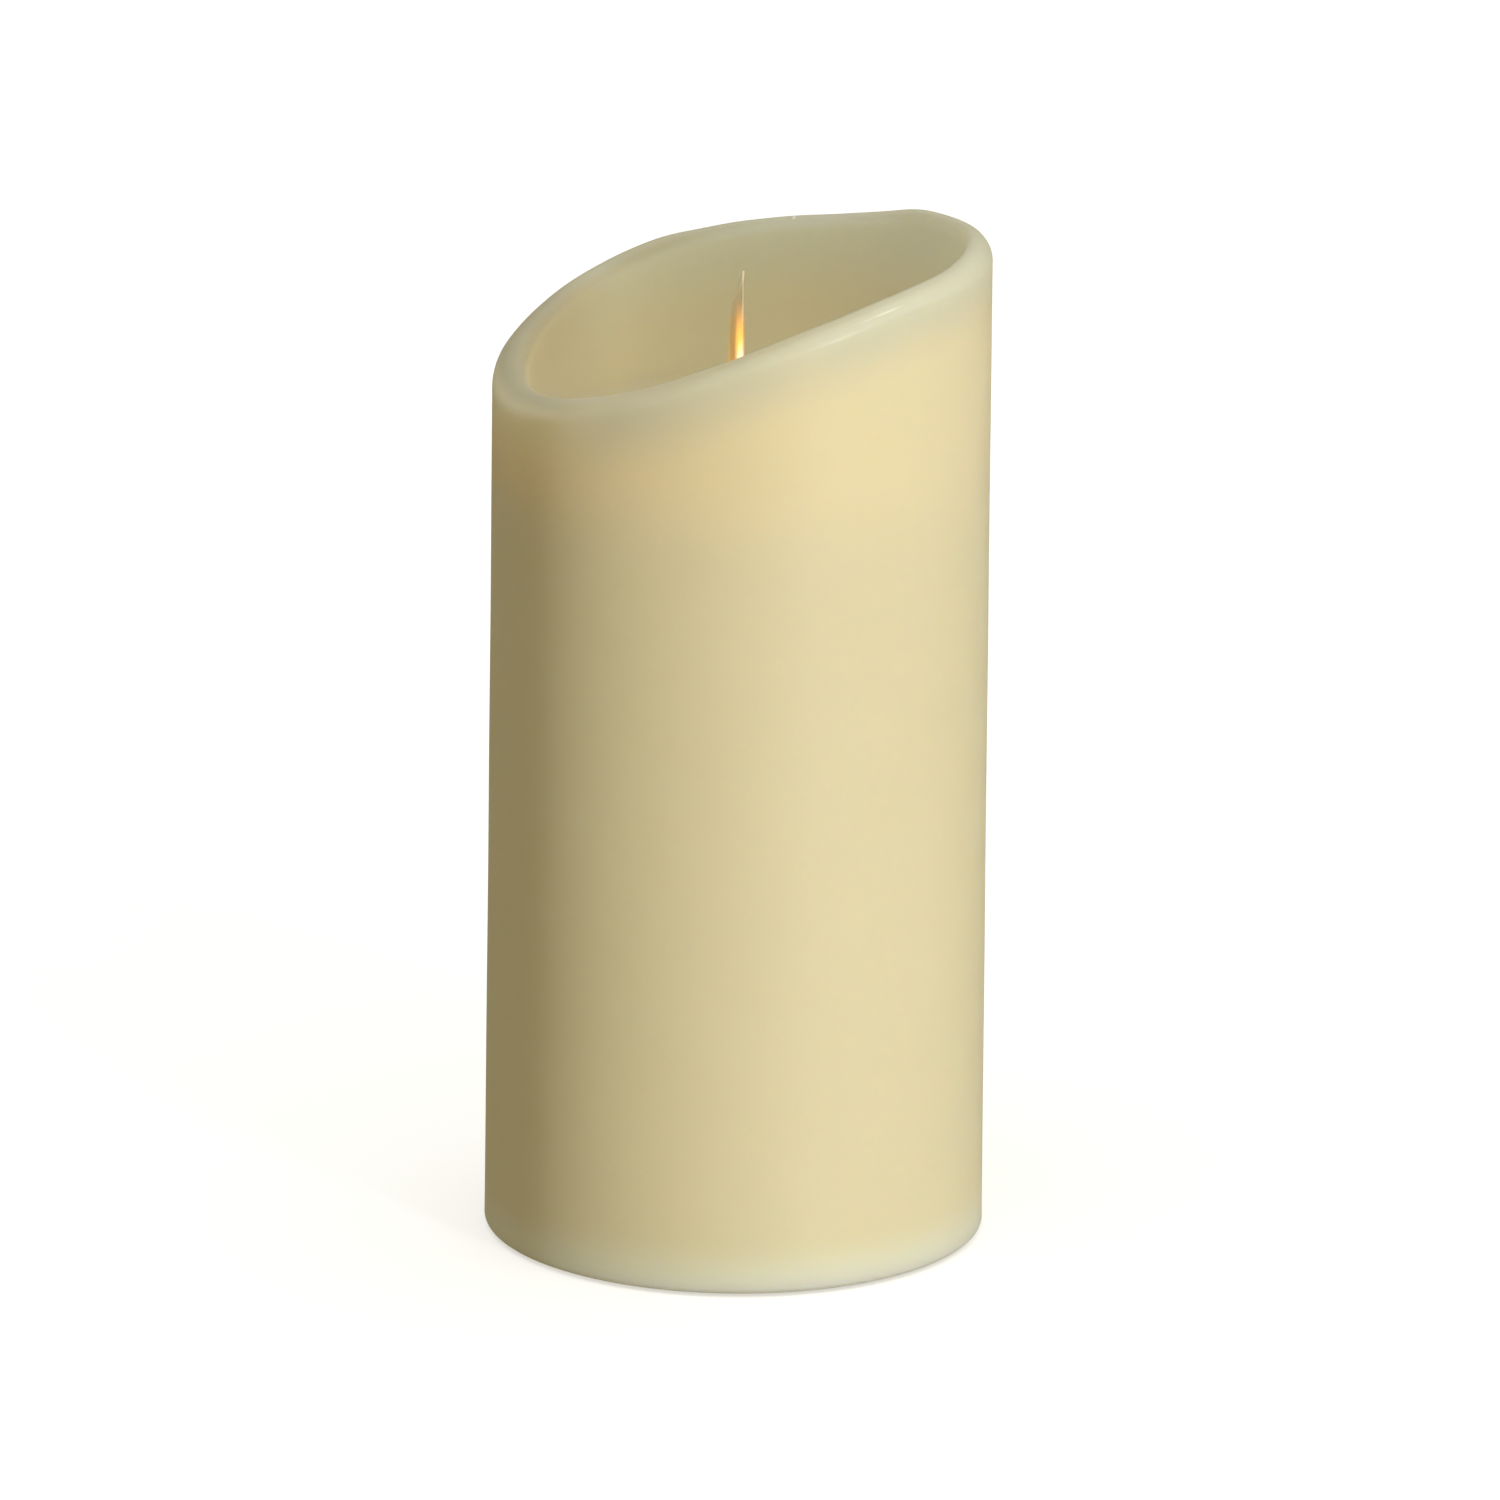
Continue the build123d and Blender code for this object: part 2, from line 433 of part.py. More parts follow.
# ----------------------------------------------------------- battery housing
def wire_clip(z):
    """A C-shaped clip on the front wall that holds the two switch leads."""
    wall, z0, z1 = -(BAY_R + BAY_WALL), z - CLIP_HALF_Z, z + CLIP_HALF_Z
    clip = block(-CLIP_HALF_X, CLIP_HALF_X, wall - CLIP_DEPTH, wall + CLIP_OVERLAP, z0, z1)
    clip -= block(-CLIP_ROOM_X, CLIP_ROOM_X, wall - CLIP_ROOM_DEPTH, wall, z0, z1)
    return clip - block(-CLIP_MOUTH_X, CLIP_MOUTH_X, wall - CLIP_DEPTH, wall - CLIP_ROOM_DEPTH, z0, z1)


def battery_housing():
    """Two upright cell bays with a ceiling, on a flange with screw bosses, ribs and the switch slot."""
    outer_r = BAY_R + BAY_WALL
    bays = rod(BAY_R, COVER_Z1, BAY_CEILING_Z, CELL_X) + rod(BAY_R, COVER_Z1, BAY_CEILING_Z, -CELL_X)
    bays += block(-BAY_WAIST_X, BAY_WAIST_X, -BAY_WAIST_Y, BAY_WAIST_Y, COVER_Z1, BAY_CEILING_Z)
    tower = Pos(0, 0, COVER_Z1) * extrude(
        SlotOverall(2 * (CELL_X + outer_r), 2 * outer_r), HOUSING_TOP_Z - COVER_Z1
    )
    tower = fillet(tower.edges().group_by(Axis.Z)[-1], HOUSING_ROUND)
    housing = tower + rod(COVER_R, COVER_Z1, FLANGE_TOP_Z)
    for sx, sy in ON_CORNERS:
        housing += rod(BOSS_R, FLANGE_TOP_Z, BOSS_TOP_Z, sx * BASE_SCREW_X, sy * BASE_SCREW_Y)
        x, y0, y1 = sx * BASE_SCREW_X, *sorted((sy * (outer_r - 0.5), sy * (BASE_SCREW_Y - BOSS_RIB_INSET)))
        housing += block(x - RIB_HALF, x + RIB_HALF, y0, y1, FLANGE_TOP_Z, BOSS_RIB_TOP_Z)
        x, y = sx * SIDE_RIB_X, sy * SIDE_RIB_Y
        x0, x1 = x - SIDE_RIB_HALF_X, x + SIDE_RIB_HALF_X
        side_rib = block(x0, x1, y - RIB_HALF, y + RIB_HALF, FLANGE_TOP_Z, SIDE_RIB_TOP_Z)
        housing += side_rib & rod(SIDE_RIB_R, FLANGE_TOP_Z, SIDE_RIB_TOP_Z)
    for z in CLIP_HEIGHTS:
        housing += wire_clip(z)
    housing -= bays
    for sx, sy in ON_CORNERS:
        housing -= rod(BASE_PILOT_R, COVER_Z1, BOSS_PILOT_Z, sx * BASE_SCREW_X, sy * BASE_SCREW_Y)
    x0, x1 = HINGE_X - HINGE_ROOM_X, HINGE_X + SOCKET_LIP_X + HINGE_ROOM_LIP
    housing -= block(x0, x1, -HINGE_ROOM_HALF_Y, HINGE_ROOM_HALF_Y, COVER_Z1, FLANGE_TOP_Z)
    half_y = HOOK_ROOM_HALF_Y
    housing -= block(HOOK_ROOM_X0, HOOK_ROOM_X1, -half_y, half_y, COVER_Z1, FLANGE_TOP_Z)
    housing -= switch_slot(COVER_Z1, FLANGE_TOP_Z)
    for x in (-CELL_X, CELL_X):
        x0, x1 = x - TAB_SLOT_X, x + TAB_SLOT_X
        housing -= block(x0, x1, TAB_SLOT_Y0, TAB_SLOT_Y1, BAY_CEILING_Z, HOUSING_TOP_Z)
    return housing


def battery_cell(x, nub_up):
    """A C-size cell: a jacketed can with crimped ends and a nub at its positive end."""
    half = CELL_LENGTH / 2
    face, shoulder = half - CELL_CRIMP, half - CELL_SHOULDER
    upper = [(CELL_R, shoulder), (CELL_RIM_R, half), (CELL_CRIMP_R, half), (CELL_END_R, face), (0, face)]
    lower = [(r, -z) for r, z in reversed(upper)]
    nub = fillet(rod(CELL_NUB_R, face, half + CELL_NUB_H).edges().group_by(Axis.Z)[-1], 0.4)
    cell = turned(lower + upper) + nub
    turn = Rot(0, 0, 0) if nub_up else Rot(180, 0, 0)
    return Pos(x, 0, CELL_Z + half) * turn * cell


def contact_dimple(x, z_plate, z_tip):
    """A pressed cup of sheet metal that reaches from a contact plate to a cell's nub."""
    t = CONTACT_THICK if z_tip > z_plate else -CONTACT_THICK
    under = [(DIMPLE_FOOT_INNER_R, z_plate), (DIMPLE_TIP_INNER_R, z_tip - t), (0, z_tip - t)]
    cup = turned(under + [(0, z_tip), (DIMPLE_TIP_R, z_tip), (DIMPLE_FOOT_R, z_plate)])
    return Pos(x, 0, 0) * cup


def door_contact_plate():
    """Bridge strip on the door that joins the two cells, with a dimple under one of them."""
    strip = Pos(0, 0, DOOR_Z1) * extrude(SlotOverall(STRIP_LENGTH, STRIP_WIDTH), CONTACT_THICK)
    top = DOOR_Z1 + CONTACT_THICK
    strip -= rod(CONTACT_HOLE_R, DOOR_Z1, top, CELL_X)
    return strip + contact_dimple(CELL_X, top, CELL_Z - CELL_NUB_H)


def top_contact(x):
    """A contact plate under the bay ceiling with a solder tab up through it."""
    z0 = BAY_CEILING_Z - CONTACT_THICK
    half_x, half_y = CONTACT_HALF_X, CONTACT_HALF_Y
    plate = block(x - half_x, x + half_x, -half_y, half_y, z0, BAY_CEILING_Z)
    return plate + block(x - TAB_HALF_X, x + TAB_HALF_X, half_y - CONTACT_THICK, half_y, z0, TAB_TOP_Z)


def positive_contact_plate():
    """Top contact of the cell that stands nub up."""
    z0 = BAY_CEILING_Z - CONTACT_THICK
    plate = top_contact(-CELL_X) - rod(CONTACT_HOLE_R, z0, BAY_CEILING_Z, -CELL_X)
    return plate + contact_dimple(-CELL_X, z0, CELL_Z + CELL_LENGTH + CELL_NUB_H)


def negative_contact_spring():
    """Top spring of the other cell, wide end on the plate."""
    plate_z = BAY_CEILING_Z - CONTACT_THICK
    upright = coil_spring(0, 0, plate_z - CELL_Z - CELL_LENGTH + SPRING_INTO_CELL)
    return Pos(CELL_X, 0, plate_z) * Rot(180, 0, 0) * upright


def door_contact_spring():
    """Spring on the door strip under the cell that stands nub up."""
    return coil_spring(-CELL_X, DOOR_Z1 + CONTACT_THICK, CELL_Z + SPRING_INTO_CELL)


# -------------------------------------------------------------- power switch
def power_switch_body():
    """Small slide switch on the flange, with three solder pins and two fixing ears."""
    half_x, half_y = SWITCH_BODY_X, SWITCH_BODY_Y
    body = block(-half_x, half_x, -half_y, half_y, FLANGE_TOP_Z, SWITCH_BODY_TOP)
    body = fillet(body.edges().filter_by(Axis.Z), SWITCH_BODY_ROUND)
    ear_top = FLANGE_TOP_Z + SWITCH_EAR_THICK
    body += block(-SWITCH_EAR_X, SWITCH_EAR_X, -SWITCH_EAR_Y, SWITCH_EAR_Y, FLANGE_TOP_Z, ear_top)
    for i in (-1, 0, 1):
        x0, x1 = i * SWITCH_PIN_PITCH - SWITCH_PIN_X, i * SWITCH_PIN_PITCH + SWITCH_PIN_X
        body += block(x0, x1, -SWITCH_PIN_Y, SWITCH_PIN_Y, SWITCH_BODY_TOP, SWITCH_PIN_TOP)
    return Pos(0, SWITCH_Y, 0) * body - switch_slot(FLANGE_TOP_Z, SWITCH_ROOM_TOP)


def power_switch_slider():
    """Sliding knob, at its on position: a ridged head in the cover's window and a stem into the switch."""
    head = block(-KNOB_HALF_X, KNOB_HALF_X, -KNOB_HALF_Y, KNOB_HALF_Y, KNOB_Z0, KNOB_Z1)
    head = fillet(head.edges().filter_by(Axis.Z), KNOB_ROUND)
    groove_top = KNOB_Z0 + KNOB_GROOVE_DEPTH
    for x in KNOB_GROOVES:
        head -= block(x, x + KNOB_GROOVE_WIDTH, -KNOB_HALF_Y, KNOB_HALF_Y, KNOB_Z0, groove_top)
    stem = block(-STEM_HALF_X, STEM_HALF_X, -STEM_HALF_Y, STEM_HALF_Y, STEM_Z0, STEM_Z1)
    return Pos(SWITCH_ON_X, SWITCH_Y, 0) * (head + stem)


# -------------------------------------------------------------- flame module
def lamp_place(along=0.0, x=0.0):
    """A place on the lamp's axis, this far above its base, with +Z along the axis."""
    lean = math.radians(LAMP_LEAN)
    y = LAMP_BASE_Y + along * math.sin(lean)
    z = LAMP_BASE_Z + along * math.cos(lean)
    return Pos(x, y, z) * Rot(-LAMP_LEAN, 0, 0)


def module_body():
    """Both halves of the module shell as one hollow box with its flange, ears, lamp shelf and posts."""
    inner_x, inner_y = MODULE_X - MODULE_WALL, MODULE_Y - MODULE_WALL
    outer = block(-MODULE_X, MODULE_X, -MODULE_Y, MODULE_Y, MODULE_Z0, MODULE_TOP)
    outer = fillet(outer.edges().filter_by(Axis.Z), MODULE_CORNER_R)
    body = outer + rod(MODULE_FLANGE_R, MODULE_TOP - MODULE_FLANGE_THICK, MODULE_TOP)
    for z in EAR_HEIGHTS:
        for side in (-1, 1):
            body += side_rod(EAR_R, -EAR_HALF_X, EAR_HALF_X, side * EAR_Y, z)
            y0, y1 = sorted((side * (MODULE_Y - 0.5), side * EAR_Y))
            body += block(-EAR_HALF_X, EAR_HALF_X, y0, y1, z - EAR_R, z + EAR_R)
    room = block(-inner_x, inner_x, -inner_y, inner_y, MODULE_Z0 + MODULE_WALL, MODULE_TOP)
    body -= fillet(room.edges().filter_by(Axis.Z), MODULE_ROOM_R)
    shelf = block(-inner_x, inner_x, -inner_y, LAMP_SHELF_Y, LAMP_SHELF_Z0, LAMP_SHELF_Z1)
    lamp_hole = Rot(0, 0, 45) * Cylinder(LAMP_HOLDER_R + LAMP_FIT, 5 * LAMP_SHELF_CUT, align=BOTTOM)
    body += shelf - lamp_place(-LAMP_SHELF_CUT) * lamp_hole
    for sx, sy in ON_CORNERS:
        body += rod(POST_R, BOARD_Z1, POST_TOP_Z, sx * BOARD_SCREW_X, sy * BOARD_SCREW_Y)
        body -= rod(BOARD_PILOT_R, BOARD_Z1, BOARD_PILOT_Z, sx * BOARD_SCREW_X, sy * BOARD_SCREW_Y)
    floor_top = MODULE_Z0 + MODULE_WALL
    body -= rod(COIL_FLANGE_R + COIL_HOLE_GAP, MODULE_Z0, floor_top)
    leg_slot = block(-LEG_SLOT_X, LEG_SLOT_X, -LEG_SLOT_Y, LEG_SLOT_Y, MODULE_Z0, floor_top)
    body -= Pos(0, LAMP_LEG_Y, 0) * leg_slot
    body -= cross_rod(WIRE_HOLE_R, -MODULE_Y, MODULE_Y, 0, WIRE_END_Z - WIRE_HOLE_DROP)
    for x in (-CAP_SCREW_X, CAP_SCREW_X):
        body -= rod(CAP_CLEAR_R, MODULE_TOP - MODULE_FLANGE_THICK, MODULE_TOP, x)
    return body


def half_space(x0, x1):
    """A block wide of the module in Y and Z, to keep one side of it."""
    return block(x0, x1, -2 * MODULE_Y, 2 * MODULE_Y, MODULE_Z0 - MODULE_Y, MODULE_TOP + MODULE_Y)


def module_shell_left():
    """The half at -X, which takes the threads of the module screws."""
    half = module_body() & half_space(-2 * MODULE_Y, 0)
    for z in EAR_HEIGHTS:
        for y in (-EAR_Y, EAR_Y):
            half -= side_rod(MODULE_PILOT_R, -MODULE_PILOT_DEPTH, 0, y, z)
    return half


def module_shell_right():
    """The half at +X, with clear holes for the module screws."""
    half = module_body() & half_space(0, 2 * MODULE_Y)
    for z in EAR_HEIGHTS:
        for y in (-EAR_Y, EAR_Y):
            half -= side_rod(MODULE_CLEAR_R, 0, EAR_HALF_X, y, z)
    return half


def module_screws():
    """Four screws that clamp the two halves together."""
    one = Rot(0, -90, 0) * screw(*MODULE_SCREW)
    return group([Pos(EAR_HALF_X, y, z) * one for z in EAR_HEIGHTS for y in (-EAR_Y, EAR_Y)])


def cap_screws():
    """Two screws up through the module flange into the cap, with the wax floor clamped between."""
    one = screw(*CAP_SCREW)
    return group([Pos(x, 0, MODULE_TOP - MODULE_FLANGE_THICK) * one for x in (-CAP_SCREW_X, CAP_SCREW_X)])


def board_screws():
    """Four screws that hold the board under the module."""
    one = screw(*BOARD_SCREW)
    return group([Pos(sx * BOARD_SCREW_X, sy * BOARD_SCREW_Y, BOARD_Z0) * one for sx, sy in ON_CORNERS])


def oval(half_x, half_y, z0, z1):
    """An upright oval prism round the flame opening."""
    return Pos(0, CAP_OPEN_CENTRE_Y, z0) * extrude(Ellipse(half_x, half_y), z1 - z0)


def well_cap():
    """Ivory disc on the wax floor, with a lipped oval opening for the flame and a skirt through the wax."""
    top = WELL_FLOOR_Z + CAP_THICK
    cap = fillet(rod(CAP_R, WELL_FLOOR_Z, top).edges().group_by(Axis.Z)[-1], CAP_ROUND)
    cap += oval(CAP_OPEN_X + CAP_LIP, CAP_OPEN_Y + CAP_LIP, WELL_FLOOR_Z, top + CAP_LIP_H)
    lip = [e for e in cap.edges() if abs(e.center().Z - top - CAP_LIP_H) < 0.01]
    cap = fillet(lip, CAP_LIP_ROUND)
    cap += ring(CAP_SKIRT_R, CAP_SKIRT_R - CAP_SKIRT_WALL, MODULE_TOP, WELL_FLOOR_Z)
    for x in (-CAP_SCREW_X, CAP_SCREW_X):
        cap += rod(CAP_BOSS_R, MODULE_TOP, WELL_FLOOR_Z, x)
        cap -= rod(CAP_PILOT_R, MODULE_TOP, WELL_FLOOR_Z, x)
    return cap - oval(CAP_OPEN_X, CAP_OPEN_Y, MODULE_TOP, top + CAP_LIP_H)


def flame_support_wire():
    """Steel wire across the module, bent to a shallow V so that the blade stays at its middle."""
    drop = WIRE_END_Z - PIVOT_Z
    half_turn = math.atan2(drop, WIRE_HALF_Y)
    corner_z = PIVOT_Z - WIRE_BEND_R * (1 / math.cos(half_turn) - 1)
    points = [(0, -WIRE_HALF_Y, WIRE_END_Z), (0, 0, corner_z), (0, WIRE_HALF_Y, WIRE_END_Z)]
    return tube_along(points, WIRE_BEND_R, WIRE_R)


def blade_outline():
    """The flame blade's face: a straight stem that swells into a flame with a leaning tip."""
    tip_x, tip_z = FLAME_TIP
    lean = [tip_x * max(0.0, (z - LEAN_FROM_Z) / (tip_z - LEAN_FROM_Z)) ** 2 for z, _ in BLADE_WIDTHS]
    left = [(dx - w, 0, z) for dx, (z, w) in zip(lean, BLADE_WIDTHS)]
    right = [(dx + w, 0, z) for dx, (z, w) in zip(lean, BLADE_WIDTHS)]
    tip = (tip_x, 0, tip_z)
    return make_face(Spline(*left, tip) + Spline(*right, tip) + Line(left[0], right[0]))


def tip_bevel():
    """Everything on the hollow side of a slanted plane that thins the flame's tip."""
    far_y = BEVEL_LOW[0] - BLADE_CURVE_R
    corners = [BEVEL_LOW, BEVEL_HIGH, (far_y, BEVEL_HIGH[1]), (far_y, BEVEL_LOW[1])]
    face = make_face(Polyline(*[(0, y, z) for y, z in corners], close=True))
    return extrude(face, amount=BLADE_CURVE_R, dir=(1, 0, 0), both=True)


def flame_blade():
    """Thin curved sheet, hollow towards the lamp, with an eye for the wire and a cup for the magnet."""
    centre_y = BLADE_BELLY_Y - BLADE_CURVE_R
    z0, z1 = BLADE_WIDTHS[0][0] - 1, FLAME_TIP[1] + 1
    bowed = ring(BLADE_CURVE_R, BLADE_CURVE_R - BLADE_THICK, z0, z1, 0, centre_y)
    bowed &= block(-BLADE_CURVE_R, BLADE_CURVE_R, centre_y, BLADE_CURVE_R, z0, z1)
    blade = extrude(blade_outline(), amount=2 * BLADE_CURVE_R, both=True) & bowed
    cup = rod(CUP_R, MAGNET_Z0 + CUP_LIP, CUP_TOP_Z) - rod(MAGNET_R + MAGNET_FIT, MAGNET_Z0, MAGNET_Z1)
    eye = cross_rod(EYE_R, -BLADE_CURVE_R, BLADE_CURVE_R, 0, PIVOT_Z - EYE_DROP)
    return blade - tip_bevel() + cup - eye


def flame_led():
    """Clear 5 mm lamp with a rim and a domed tip."""
    lamp = rod(LAMP_FLANGE_R, 0, LAMP_FLANGE_H) + rod(LAMP_R, 0, LAMP_FLANGE_H + LAMP_BARREL_H)
    lamp += Pos(0, 0, LAMP_FLANGE_H + LAMP_BARREL_H) * Sphere(LAMP_R)
    return lamp_place() * lamp


def led_holder():
    """Sleeve that clamps the lamp in the module's shelf."""
    return lamp_place(LAMP_FLANGE_H) * ring(LAMP_HOLDER_R, LAMP_R + LAMP_FIT, 0, LAMP_HOLDER_H)


def led_leads():
    """The lamp's two legs, which pass either side of the flame's wire down to the board."""
    lean = math.radians(LAMP_LEAN)
    knee_z = LAMP_BASE_Z - (LAMP_BASE_Y - LAMP_LEG_Y) / math.tan(lean)
    legs = []
    for x in (-LAMP_LEG_X, LAMP_LEG_X):
        points = [(x, LAMP_BASE_Y, LAMP_BASE_Z), (x, LAMP_LEG_Y, knee_z), (x, LAMP_LEG_Y, BOARD_Z1)]
        legs.append(tube_along(points, LAMP_LEG_BEND, LAMP_LEG_R))
    return group(legs)


def coil_bobbin():
    """Plastic spool that stands on the board."""
    low, high = BOARD_Z1 + COIL_FLANGE_THICK, COIL_TOP_Z - COIL_FLANGE_THICK
    return turned([
        (COIL_BORE_R, BOARD_Z1), (COIL_FLANGE_R, BOARD_Z1), (COIL_FLANGE_R, low), (COIL_HUB_R, low),
        (COIL_HUB_R, high), (COIL_FLANGE_R, high), (COIL_FLANGE_R, COIL_TOP_Z), (COIL_BORE_R, COIL_TOP_Z),
    ])


def coil_winding():
    """The coil's copper, as one ring between the spool's flanges."""
    return ring(COIL_WINDING_R, COIL_HUB_R, BOARD_Z1 + COIL_FLANGE_THICK, COIL_TOP_Z - COIL_FLANGE_THICK)


def control_board():
    """Circuit board screwed under the module."""
    board = block(-MODULE_X, MODULE_X, -MODULE_Y, MODULE_Y, BOARD_Z0, BOARD_Z1)
    board = fillet(board.edges().filter_by(Axis.Z), MODULE_CORNER_R)
    for sx, sy in ON_CORNERS:
        board -= rod(BOARD_CLEAR_R, BOARD_Z0, BOARD_Z1, sx * BOARD_SCREW_X, sy * BOARD_SCREW_Y)
    return board


def board_ic():
    """Eight-leg timer and drive chip on the underside of the board."""
    z1 = BOARD_Z0
    package_z = z1 - CHIP_LIFT
    chip = block(-CHIP_HALF_X, CHIP_HALF_X, -CHIP_HALF_Y, CHIP_HALF_Y, package_z - CHIP_THICK, package_z)
    for side in (-1, 1):
        for i in range(CHIP_LEGS_A_SIDE):
            x = CHIP_LEG_PITCH * (i - (CHIP_LEGS_A_SIDE - 1) / 2)
            y0, y1 = sorted((side * (CHIP_HALF_Y - CHIP_LIFT), side * CHIP_LEG_REACH))
            chip += block(x - CHIP_LEG_HALF_X, x + CHIP_LEG_HALF_X, y0, y1, z1 - CHIP_LEG_THICK, z1)
    return Pos(0, CHIP_Y, 0) * chip


def board_capacitor():
    """Radial capacitor that hangs from the board."""
    seal, edge_round = 0.3, 0.5
    can = rod(CAPACITOR_R, BOARD_Z0 - CAPACITOR_LENGTH, BOARD_Z0 - seal)
    can = fillet(can.edges().group_by(Axis.Z)[0], edge_round)
    return Pos(0, CAPACITOR_Y, 0) * (can + rod(CAPACITOR_BASE_R, BOARD_Z0 - edge_round, BOARD_Z0))


def board_chip_parts():
    """Small surface parts on the underside of the board."""
    half_x, half_y = RESISTOR_HALF_X, RESISTOR_HALF_Y
    resistor = block(-half_x, half_x, -half_y, half_y, BOARD_Z0 - RESISTOR_THICK, BOARD_Z0)
    diode = block(DIODE_X0, DIODE_X1, DIODE_Y0, DIODE_Y1, BOARD_Z0 - DIODE_THICK, BOARD_Z0)
    return group([Pos(x, y, 0) * resistor for x, y in RESISTOR_PLACES] + [diode])


def board_solder_joints():
    """A cone of solder round each lead that reaches the board."""
    joint = Pos(0, 0, -SOLDER_HEIGHT) * Cone(SOLDER_TIP_R, SOLDER_FOOT_R, SOLDER_HEIGHT, align=BOTTOM)
    joint -= rod(LEAD_R, -SOLDER_HEIGHT, 0)
    return group([Pos(x, y, BOARD_Z0) * joint for x, y in LEAD_PADS.values()])


# --------------------------------------------------------------------- leads
def tab_lead(name, tab_x, turn_z, pad, pad_run_z):
    """A lead from a contact's tab up to a pad of the board."""
    x, y = LEAD_PADS[pad]
    return lead(name, [
        (tab_x, TAB_LEAD_Y, TAB_LEAD_Z), (tab_x, TAB_LEAD_Y, turn_z), (x, y, pad_run_z), (x, y, BOARD_Z0),
    ])


def battery_lead_positive():
    """From the positive tab up to the board."""
    return tab_lead("battery_lead_positive", -CELL_X, POSITIVE_TURN_Z, "positive", POSITIVE_PAD_RUN_Z)


def battery_lead_negative():
    """From the negative tab up to the board."""
    return tab_lead("battery_lead_negative", CELL_X, NEGATIVE_TURN_Z, "negative", NEGATIVE_PAD_RUN_Z)


def switch_leads():
    """Two leads from the switch up the housing's front wall, through its clips, to the board."""
    wall_y = -(BAY_R + BAY_WALL) - SWITCH_LEAD_WALL_GAP
    leads = []
    for side, pad in ((-1, "switch_a"), (1, "switch_b")):
        x, y = LEAD_PADS[pad]
        pin_x, wall_x = side * SWITCH_PIN_PITCH, side * SWITCH_LEAD_X
        leads.append(lead("switch_lead", [
            (pin_x, SWITCH_Y, SWITCH_PIN_TOP), (pin_x, SWITCH_Y, PIN_RUN_Z), (wall_x, wall_y, WALL_RUN_Z0),
            (wall_x, wall_y, WALL_RUN_Z1), (x, y, SWITCH_PAD_RUN_Z), (x, y, BOARD_Z0),
        ]))
    return group(leads)


PIECES = {
    "wax_shell": wax_shell,
    "well_cap": well_cap,
    "module_shell_left": module_shell_left,
    "module_shell_right": module_shell_right,
    "module_screws": module_screws,
    "cap_screws": cap_screws,
    "flame_support_wire": flame_support_wire,
    "flame_blade": flame_blade,
    "flame_magnet": lambda: rod(MAGNET_R, MAGNET_Z0, MAGNET_Z1),
    "flame_led": flame_led,
    "led_holder": led_holder,
    "led_leads": led_leads,
    "coil_bobbin": coil_bobbin,
    "coil_winding": coil_winding,
    "control_board": control_board,
    "board_screws": board_screws,
    "board_ic": board_ic,
    "board_capacitor": board_capacitor,
    "board_chip_parts": board_chip_parts,
    "board_solder_joints": board_solder_joints,
    "battery_lead_positive": battery_lead_positive,
    "battery_lead_negative": battery_lead_negative,
    "switch_leads": switch_leads,
    "battery_housing": battery_housing,
    "battery_left": lambda: battery_cell(-CELL_X, nub_up=True),
    "battery_right": lambda: battery_cell(CELL_X, nub_up=False),
    "positive_contact_plate": positive_contact_plate,
    "negative_contact_plate": lambda: top_contact(CELL_X),
    "negative_contact_spring": negative_contact_spring,
    "base_cover": base_cover,
    "base_screws": base_screws,
    "rubber_feet": rubber_feet,
    "battery_door": battery_door,
    "door_contact_plate": door_contact_plate,
    "door_contact_spring": door_contact_spring,
    "power_switch_body": power_switch_body,
    "power_switch_slider": power_switch_slider,
}


os.makedirs("parts", exist_ok=True)
for node, make in PIECES.items():
    export_step(make(), f"parts/{node}.step")
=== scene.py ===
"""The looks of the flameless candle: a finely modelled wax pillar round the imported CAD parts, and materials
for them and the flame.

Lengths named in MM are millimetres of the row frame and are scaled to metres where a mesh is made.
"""

import math

import bmesh
import bpy
import numpy as np
from mathutils import Matrix, Vector


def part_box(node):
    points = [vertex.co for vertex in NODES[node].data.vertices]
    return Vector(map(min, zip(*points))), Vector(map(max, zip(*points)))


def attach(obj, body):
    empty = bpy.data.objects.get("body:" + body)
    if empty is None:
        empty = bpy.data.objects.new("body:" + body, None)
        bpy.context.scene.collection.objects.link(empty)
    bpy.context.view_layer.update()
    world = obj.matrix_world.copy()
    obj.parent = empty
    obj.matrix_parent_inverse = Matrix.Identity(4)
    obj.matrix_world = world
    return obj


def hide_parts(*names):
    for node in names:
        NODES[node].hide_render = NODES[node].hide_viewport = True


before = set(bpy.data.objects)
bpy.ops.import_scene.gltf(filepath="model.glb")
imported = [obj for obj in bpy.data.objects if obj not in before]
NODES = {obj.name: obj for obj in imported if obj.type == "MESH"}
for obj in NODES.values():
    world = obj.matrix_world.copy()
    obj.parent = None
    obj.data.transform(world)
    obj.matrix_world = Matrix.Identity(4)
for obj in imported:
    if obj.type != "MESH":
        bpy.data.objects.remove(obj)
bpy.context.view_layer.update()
MM = 0.001

# ------------------------------------------------------- driving dimensions (mm)
WAX_LOW, WAX_HIGH = (v * 1000 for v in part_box("wax_shell"))
CAP_LOW, CAP_HIGH = (v * 1000 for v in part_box("well_cap"))
WAX_R = WAX_HIGH.x
WAX_BOTTOM = WAX_LOW.z
BASE_EDGE = 1.0
FLOOR_UNDER_Z = CAP_LOW.z
FLOOR_THICKNESS = 4.0
FLOOR_Z = FLOOR_UNDER_Z + FLOOR_THICKNESS
HOLE_R = 17.0
BORE_R, BASE_BORE_R, SHOULDER_Z = 37.0, 38.5, 5.2
WELL_FLOOR_R, WELL_CORNER_R = 36.4, 5.0
# The well widens this much for each millimetre of height
WELL_DRAFT = 3.2 / 48.0
RIM_MEAN, RIM_FALL, RIM_CREST_R = 171.4, 5.0, 41.0
